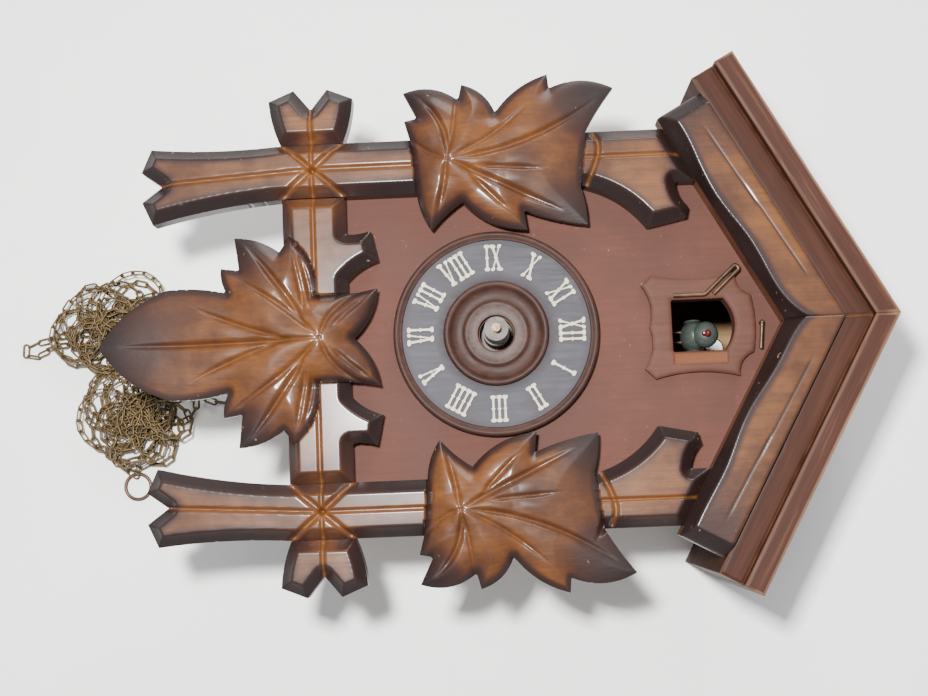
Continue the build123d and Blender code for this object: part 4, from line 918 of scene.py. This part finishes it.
def heap_points(key):
    """Loose loops, each an ellipse of its own size and lean about a middle that wanders over the lobe:
    (u, v) = (1.08 r cos t, 0.92 r sin t), turned by the lean, where r = 10.4 + 1.9 sin(0.43 t + phase) and a
    little at random, while z rises from the bench to the top of the heap."""
    draw = np.random.default_rng(sum(map(ord, "".join(key))))
    spots = np.array(LOBES[key[0]])[::-1 if key[1] == "hook" else 1]
    k = np.arange(TURNS * PER_TURN)
    s = k / k[-1]
    at = s * (len(spots) - 1)
    middle = np.stack([np.interp(at, np.arange(len(spots)), spots[:, c]) for c in (0, 1)], axis=1)
    phase = draw.uniform(0, 2 * math.pi)
    t = phase + (1 if key[1] == "ring" else -1) * 2 * math.pi * k / PER_TURN
    r = 10.4 + 1.9 * np.sin(0.43 * t + phase) + draw.uniform(-0.25, 0.25, len(k))
    lean = 0.9 * (k / PER_TURN) + phase
    u, v = 1.08 * r * np.cos(t), 0.92 * r * np.sin(t)
    x = middle[:, 0] + u * np.cos(lean) - v * np.sin(lean)
    y = middle[:, 1] + u * np.sin(lean) + v * np.cos(lean)
    z = CHAIN_W / 2 + (8.0 if key[1] == "ring" else 9.5) * s + draw.uniform(0, 0.8, len(k))
    loops = np.stack([x, y, z], axis=1).tolist()
    if key == ("strike", "ring"):
        before = TAIL_AFTER * PER_TURN
        loops = loops[:before] + TAIL + loops[before:]
    return loops + ENDS[key]


def build_chains():
    """Rings and hooks, and the four strands of chain that end in them."""
    angle = np.linspace(0, 2 * math.pi, 13)[:-1]
    for name, (x, y, z) in RINGS_AT.items():
        wire = np.stack([RING_R + HOOK_WIRE * np.cos(angle), z + HOOK_WIRE * np.sin(angle)], axis=1)
        piece(name + "_chain_ring", *turned(wire, 48, (x, y)), "dark_wire",
                                  replaces=["chain_rings"])
    for name, (x, y) in HOOKS_AT.items():
        route = [(x + u, y + v, HOOK_Z) for u, v in HOOK_BEND]
        wire_piece(name + "_weight_hook", route, ["weight_hooks"])
    for seed, (key, (_, _, length)) in enumerate(STRANDS.items(), 11):
        points = lead_points(key) + heap_points(key)
        chain, line = chain_piece("_".join(key) + "_chain", points, seed)
        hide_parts("chain_leads", "chain_heap")
        tuple(place(points[:1])[0])


# --- roof -------------------------------------------------------------------------------------------------
TRIM_HALF = 88.0                 # half the width over the trims
ROOF_T, ROOF_HALF = 9.6, 98.0    # thickness of the roof boards, and half the width over them
TOP_T, TOP_HALF = 7.9, 102.0     # the same of the top boards
RIDGE_GAP = 0.05                 # half the gap between two boards at the ridge


def slope_outline(top, across, half_w):
    """A board on the right-hand slope, with the roof's outer line meeting the ridge at top."""
    ox, oy = half_w, top - half_w * math.tan(ROOF_ANGLE)
    ix, iy = ox - across * math.sin(ROOF_ANGLE), oy - across * math.cos(ROOF_ANGLE)
    foot = top - across / math.cos(ROOF_ANGLE)
    return [(RIDGE_GAP, top, 0.0), (RIDGE_GAP, foot, 0.0), (ix, iy, 0.0), (ox, oy, 0.0)]


def on_slope(p, top):
    """How far along the slope from the ridge, and how far in from the board's outer line."""
    x, y = np.abs(p[:, 0]), p[:, 1] - top
    return (x * math.cos(ROOF_ANGLE) - y * math.sin(ROOF_ANGLE),
            -x * math.sin(ROOF_ANGLE) - y * math.cos(ROOF_ANGLE))


def trim_face(side):
    """Face of a trim: flat, with a wavy bevel along its inner edge, whose width is 2.7 + 9 exp(-s / 0.09) +
    0.9 sin(2 pi (2.2 s + phase)) at share s of the slope, wider at the foot, a bevelled end, and two thin
    carved lines. Bevels and the lower half are sprayed dark, and the carved lines are painted dark as
    painted shade in their grooves."""
    reach = TRIM_HALF / math.cos(ROOF_ANGLE)
    phase = 0.65 if side > 0 else 0.35

    def face(p, gap):
        along, across = on_slope(p, GABLE_Y)
        s = along / reach
        inner = TRIM_W - across
        end = reach - along
        wave = 2.7 + 9.0 * np.exp(-s / 0.09) + 0.9 * np.sin(2 * math.pi * (2.2 * s + phase))
        wave = wave + 1.6 * smooth_step(s, 0.75, 0.98)
        z = TRIM_Z - 6.5 * np.clip(1 - inner / wave, 0, 1) ** 0.85
        z = np.minimum(z, TRIM_Z - 5.0 * np.clip(1 - end / 5.5, 0, 1))
        z = z - 0.35 * np.exp(-gap / 0.35)
        lines = np.zeros(len(p))
        for first, last, off in ((0.18, 0.66, 4.2), (0.5, 0.9, 5.6)):
            on = smooth_step(s, first, first + 0.05) * (1 - smooth_step(s, last - 0.08, last))
            line = on * np.clip(1 - np.abs(across - off - 3 * (s - first)) / 0.6, 0, 1)
            z = z - 0.2 * line
            lines = np.maximum(lines, line)
        burn_and_shade = 1 - smooth_step(inner - wave, -0.6, 4.5)
        burn_and_shade = np.maximum(burn_and_shade, 1 - smooth_step(end, 4.5, 9))
        burn_and_shade = np.maximum(burn_and_shade, 0.45 * np.exp(-across / 1.2))
        burn_and_shade = np.maximum(burn_and_shade, 0.5 * smooth_step(s, 0.5, 0.95))
        # Painted shade: the carved lines are darkened as the shade inside their grooves.
        burn_and_shade = np.maximum(burn_and_shade, 0.8 * lines)
        return z, {"burn_and_shade": burn_and_shade, "cut": np.zeros(len(p))}
    return face


BUMPS = 40             # small bumps along a roof board's edge, over its first 120 mm


def board_face(top, face_z, wear_width, seed):
    """Front edge of a roof board: flat, its arrises rubbed down by (0.45 + 0.25 n) exp(-gap / 0.4), where n
    is the sum of small bumps at random places along it."""
    draws = np.random.default_rng(seed).uniform(-1, 1, (BUMPS, 3))

    def face(p, gap):
        along, across = on_slope(p, top)
        rag = np.exp(-((along[:, None] - 60 - 60 * draws[:, 0]) / 2.2) ** 2) @ np.abs(draws[:, 2])
        z = face_z - (0.45 + 0.25 * rag) * np.exp(-gap / 0.4)
        return z, {"wear_and_shade": np.exp(-(gap / wear_width) ** 2), "along": along * MM, "across": across * MM}
    return face


def build_roof():
    """On each side a trim, a roof board behind and above it, and a top board over that."""
    roof_top = GABLE_Y + ROOF_T / math.cos(ROOF_ANGLE)
    cap_top = roof_top + TOP_T / math.cos(ROOF_ANGLE)
    trim = slope_outline(GABLE_Y, TRIM_W, TRIM_HALF)
    roof = slope_outline(roof_top, ROOF_T, ROOF_HALF)
    cap = slope_outline(cap_top, TOP_T, TOP_HALF)
    for side, name in SIDES:
        carve(name + "_trim_carved", sided(trim, side), PANEL_Z, trim_face(side), [name + "_trim"], lip=0.8)
        carve(name + "_roof_board", sided(roof, side), 0.0, board_face(roof_top, ROOF_Z, 0.5, 3 + side),
              [name + "_roof"], slot="roof_dark", lip=1.2)
        carve(name + "_roof_top_board", sided(cap, side), 0.0, board_face(cap_top, TOP_Z, 0.9, 9 + side),
              [name + "_roof_top"], slot="roof_worn", lip=1.2)


# --- dial -------------------------------------------------------------------------------------------------
DIAL_SIDES = 160       # flats round the dial's rim and ring
MOULDING_SIDES = 128   # and round its moulding
RING_IN, RING_OUT = 20.2, 35.9
RING_RADII = [RING_IN, 20.7, 21.5, 22.5, 24.0, 27.0, 31.0, 33.5, 35.0, RING_OUT]
# Profiles as (radius, height over the panel), the moulding's with how far its stain is worn.
RIM = [(36.0, 0.0), (39.4, 0.0), (39.4, 3.2), (39.1, 4.4), (38.4, 5.1), (37.6, 5.0), (36.9, 4.3), (36.5, 4.2),
       (36.0, 4.1)]
MOULDING = [
    (7.0, 0.0, 0), (20.1, 0.0, 0), (20.1, 4.7, 0), (19.8, 5.5, 0.1), (19.1, 6.0, 0.2), (18.2, 5.8, 0.1),
    (17.6, 5.0, 0), (17.2, 4.4, 0), (16.4, 3.7, 0), (13.2, 3.2, 0), (12.7, 3.5, 0), (12.1, 4.3, 0.2),
    (11.5, 4.5, 0.4), (10.6, 4.1, 0.6), (8.6, 3.3, 0.9), (7.4, 3.0, 0.9), (7.0, 2.6, 0.5),
]


def dial_piece(name, profile, worn_and_shaded, sides, slot, replaces, smooth=True):
    """A turned piece of the dial, worn as much all round as its profile is: wear, and painted shade on the
    ring.
    """
    verts, groups = turned(profile, sides)
    wear_and_shade = {"wear_and_shade": np.tile(worn_and_shaded, sides)}
    piece(name, verts, groups, slot, replaces=replaces, smooth=smooth, attributes=wear_and_shade)


def build_dial():
    """Rim, ring and centre moulding. The ring has painted shade beside the moulding and the rim."""
    rim = [(r, PANEL_Z + z) for r, z in RIM]
    dial_piece("dial_rim_turned", rim, np.zeros(len(rim)), DIAL_SIDES, "dial_brown", ["dial_rim"])
    foot = height_of("chapter_ring", 0)
    ring = [(RING_IN, foot), *((r, CHAPTER_Z) for r in RING_RADII), (RING_OUT, foot)]
    # Painted shade: the ring darkened beside the moulding and the rim, which stand above it.
    worn_and_shaded = np.interp(np.array(ring)[:, 0], [RING_IN, 24.5, 33.0, RING_OUT], [1.0, 0.0, 0.0, 0.5])
    dial_piece("dial_ring_turned", ring, worn_and_shaded, DIAL_SIDES, "dial_grey", ["chapter_ring"], smooth=False)
    moulding = [(r, PANEL_Z + z) for r, z, _ in MOULDING]
    worn_and_shaded = np.array([share for _, _, share in MOULDING], float)
    dial_piece("dial_moulding_turned", moulding, worn_and_shaded, MOULDING_SIDES, "dial_brown", ["centre_moulding"])


NUMERALS = ["I", "II", "III", "IIII", "V", "VI", "VII", "VIII", "IX", "X", "XI", "XII"]
LETTER_W = {"I": 2.25, "V": 4.7, "X": 4.7}
# Strokes of each letter: (x at the foot, x at the top, half thickness), the thick one first.
STROKES = {
    "I": [(0, 0, 0.62)],
    "V": [(0, -1.5, 0.68), (0, 1.5, 0.42)],
    "X": [(1.5, -1.5, 0.68), (-1.5, 1.5, 0.42)],
}
NUMERAL_R = 28.9       # from the dial's middle to a numeral's middle
NUMERAL_H = 10.2       # a numeral's height
NUMERAL_T = 1.0        # how far it stands out of the ring
CROSSED = 0.03         # how much lower the thin stroke is
# Half width of a stroke, in half thicknesses, at shares of its height.
WAIST = [(0.0, 1.0), (0.04, 1.75), (0.1, 1.6), (0.15, 0.7), (0.44, 0.6), (0.5, 1.2), (0.56, 0.6), (0.85, 0.7),
         (0.9, 1.6), (0.96, 1.75), (1.0, 1.0)]


def stroke(foot, top, thick, low, high):
    """A stroke of a numeral: at share h of its height it runs from x(h) - thick w(h) to x(h) + thick w(h),
    where x goes straight from foot to top and w is the waist's width. It stands from low to high."""
    share, width = np.array(WAIST).T
    middle = foot + (top - foot) * share
    y = (share - 0.5) * NUMERAL_H
    left, right = middle - thick * width, middle + thick * width
    section = [(left, low), (right, low), (right, high), (left, high)]
    rings = np.stack([np.stack([x, y, np.full(len(y), z)], axis=1) for x, z in section], axis=1)
    return skin(rings)


def build_numerals():
    """Twelve numerals, each drawn upright above the dial's middle, its letters side by side, and turned by 30
    degrees an hour: x' = x cos t - y sin t, y' = x sin t + y cos t."""
    parts = []
    for hour, text in enumerate(NUMERALS, 1):
        edge = -sum(LETTER_W[c] for c in text) / 2
        turn = -math.radians(30 * hour)
        for letter in text:
            edge += LETTER_W[letter] / 2
            for k, (foot, top, thick) in enumerate(STROKES[letter]):
                high = CHAPTER_Z + NUMERAL_T - CROSSED * k
                v, groups = stroke(edge + foot, edge + top, thick, CHAPTER_Z, high)
                x, y = v[:, 0], v[:, 1] + NUMERAL_R
                turned_x = x * math.cos(turn) - y * math.sin(turn)
                turned_y = x * math.sin(turn) + y * math.cos(turn)
                parts.append((np.stack([turned_x, turned_y, v[:, 2]], axis=1), groups))
            edge += LETTER_W[letter] / 2
    piece("roman_numerals", *joined(parts), "numeral_plastic", smooth=False, replaces=["numerals"])


# --- door and bird ----------------------------------------------------------------------------------------
# The surround's outline and the doorway's, as (x, y, bulge).
SHIELD = [(0.0, 58.5, 2.0), (16.0, 56.0, 0.0), (20.0, 60.0, 2.2), (20.0, 92.0, 2.0), (11.0, 97.5, -1.2),
          (-11.0, 97.5, 2.0), (-20.0, 92.0, 2.2), (-20.0, 60.0, 0.0), (-16.0, 56.0, 2.0)]
DOORWAY = [(-10.0, 67.0, 0.0), (10.0, 67.0, 0.0), (10.0, 87.0, -4.0), (-10.0, 87.0, 0.0)]
REBATE = (10.0, 15.0, 67.0, 88.0)      # sunk strip beside the doorway: its x and y limits
REBATE_Z = 1.6                         # and how far its floor is above the panel


def surround_face(p, gap):
    """Face of the door's surround: flat, its edges eased by 0.8 exp(-gap / 0.6), with a rebate sunk in it."""
    x, y = p.T
    left, right, low, high = REBATE
    rebate = (x > left) & (x < right) & (y > low) & (y < high)
    z = np.where(rebate, PANEL_Z + REBATE_Z, height_of("door_surround") - 0.8 * np.exp(-gap / 0.6))
    return z, {"rebate": rebate.astype(float)}


def build_surround():
    """The shield-shaped surround, open at the doorway."""
    carve("door_surround_cut", SHIELD, PANEL_Z, surround_face, ["door_surround"], slot="door_wood",
          holes=[DOORWAY])


# The bird's balls: (middle, half sizes), from its own middle. Wings and eyes stand on both sides.
BIRD_BODY = (0, -1, 0), (6.2, 5.2, 8.4)
BIRD_HEAD = (0, 3.0, 7.0), (5.2, 5.0, 4.7)
BIRD_TAIL = (0, -1.4, -9.0), (2.6, 0.9, 3.8)
BIRD_WING = (5.9, -1, -1), (0.9, 3.4, 6.7)
BIRD_EYE = (2.9, 5.4, 10.1), (0.6, 0.6, 0.6)
UPPER_BEAK = (0, 3.1, 12.0), (1.5, 1.3, 3.0)
BIRD_Y, BIRD_Z = 79.0, 71.64           # its middle


def build_bird():
    """The bird as stretched balls, one inside the next: body, head, tail and wings, then beak and eyes. Its
    middle is in line with the lower beak."""
    x = (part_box("bird_beak")[0][0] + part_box("bird_beak")[1][0]) / MM / 2

    def part(shape, side=1, *counts):
        (right, up, out), radii = shape
        return ball((x + side * right, BIRD_Y + up, BIRD_Z + out), radii, *counts)

    parts = [part(BIRD_BODY), part(BIRD_HEAD), part(BIRD_TAIL, 1, 10, 16)]
    parts += [part(BIRD_WING, side, 12, 18) for side in (-1, 1)]
    eyes = [part(BIRD_EYE, side, 8, 12) for side in (-1, 1)]
    on_arm = {"body": "bird_arm", "replaces": ["bird_body"]}
    piece("bird_carved", *joined(parts), "bird_paint", **on_arm)
    piece("upper_beak", *part(UPPER_BEAK, 1, 12, 16), "beak_red", **on_arm)
    piece("bird_eyes", *joined(eyes), "cast_iron", **on_arm)


# --- floor, light, camera ---------------------------------------------------------------------------------
FLOOR_HALF = 1.5       # half the width of the floor, in metres


def build_stage():
    """Plain pale floor: painted board, matt, with clouds hardly darker than the rest."""
    half = FLOOR_HALF
    data = bpy.data.meshes.new("floor")
    corners = [(-half, -half, 0), (half, -half, 0), (half, half, 0), (-half, half, 0)]
    data.from_pydata(corners, [], [(0, 1, 2, 3)])
    data.materials.append(finish(
        "painted_pale_floor", "#f5f4f1", {"cloud": (None, 170, ROUND, 0.3, 0.7)},
        [(("cloud",), 1.0, "#efedea")], ("cloud", 0.55, 0.65)))
    stand("floor", data)


# Lamps, in metres from the dial's middle on the bench: (place, width, watts). The small one draws the shadows
# and glints. The large one stands aside, so that the flat faces don't mirror it.
LAMPS = {"key": ((-0.03, -0.07, 0.74), 0.05, 15.0), "soft_side": ((-1.3, 0.4, 0.8), 0.8, 22.0)}
LAMP_AIM = (0.0, 0.0, 0.09)
SKY, SKY_STRENGTH = "#e4e7ec", 0.8
# Camera, from the same middle: its place, the directions that are right and up in the view, and its lens.
CAMERA_AT = (0.0634, 0.0006, 0.6666)
VIEW_RIGHT = (0.0399, 0.9988, -0.0272)
VIEW_UP = (-0.9940, 0.0425, 0.1008)
LENS, SENSOR = 58.2, 36.0


def about_dial(x, y, z):
    """A place in the frame, in metres, from metres about the dial's middle on the bench."""
    return Vector((x, DIAL_Y + y, z))


def build_light():
    """An even pale sky and two square lamps, aimed at the dial."""
    world = bpy.data.worlds.new("studio")
    world.use_nodes = True
    sky = world.node_tree.nodes["Background"]
    sky.inputs["Color"].default_value = linear(SKY)
    sky.inputs["Strength"].default_value = SKY_STRENGTH
    bpy.context.scene.world = world
    for name, (at, size, power) in LAMPS.items():
        data = bpy.data.lights.new(name, "AREA")
        data.energy = power
        data.size = size
        location = about_dial(*at)
        turn = (about_dial(*LAMP_AIM) - location).to_track_quat("-Z", "Y").to_matrix().to_4x4()
        stand(name, data).matrix_world = Matrix.Translation(location) @ turn


def build_camera():
    """Nearly straight above, from the clock's right, the clock's up pointing to the right of the view."""
    data = bpy.data.cameras.new("camera")
    data.sensor_width = SENSOR
    data.lens = LENS
    obj = stand("camera", data)
    right, up = Vector(VIEW_RIGHT), Vector(VIEW_UP)
    turn = Matrix((right, up, right.cross(up))).transposed().to_4x4()
    obj.matrix_world = Matrix.Translation(about_dial(*CAMERA_AT)) @ turn
    bpy.context.scene.camera = obj


# --- everything -------------------------------------------------------------------------------------------
build_camera()
build_stage()
build_light()
dress_cad()
build_chains()
build_leaves()
build_uprights()
build_crossings()
build_roof()
build_dial()
build_numerals()
build_surround()
build_bird()
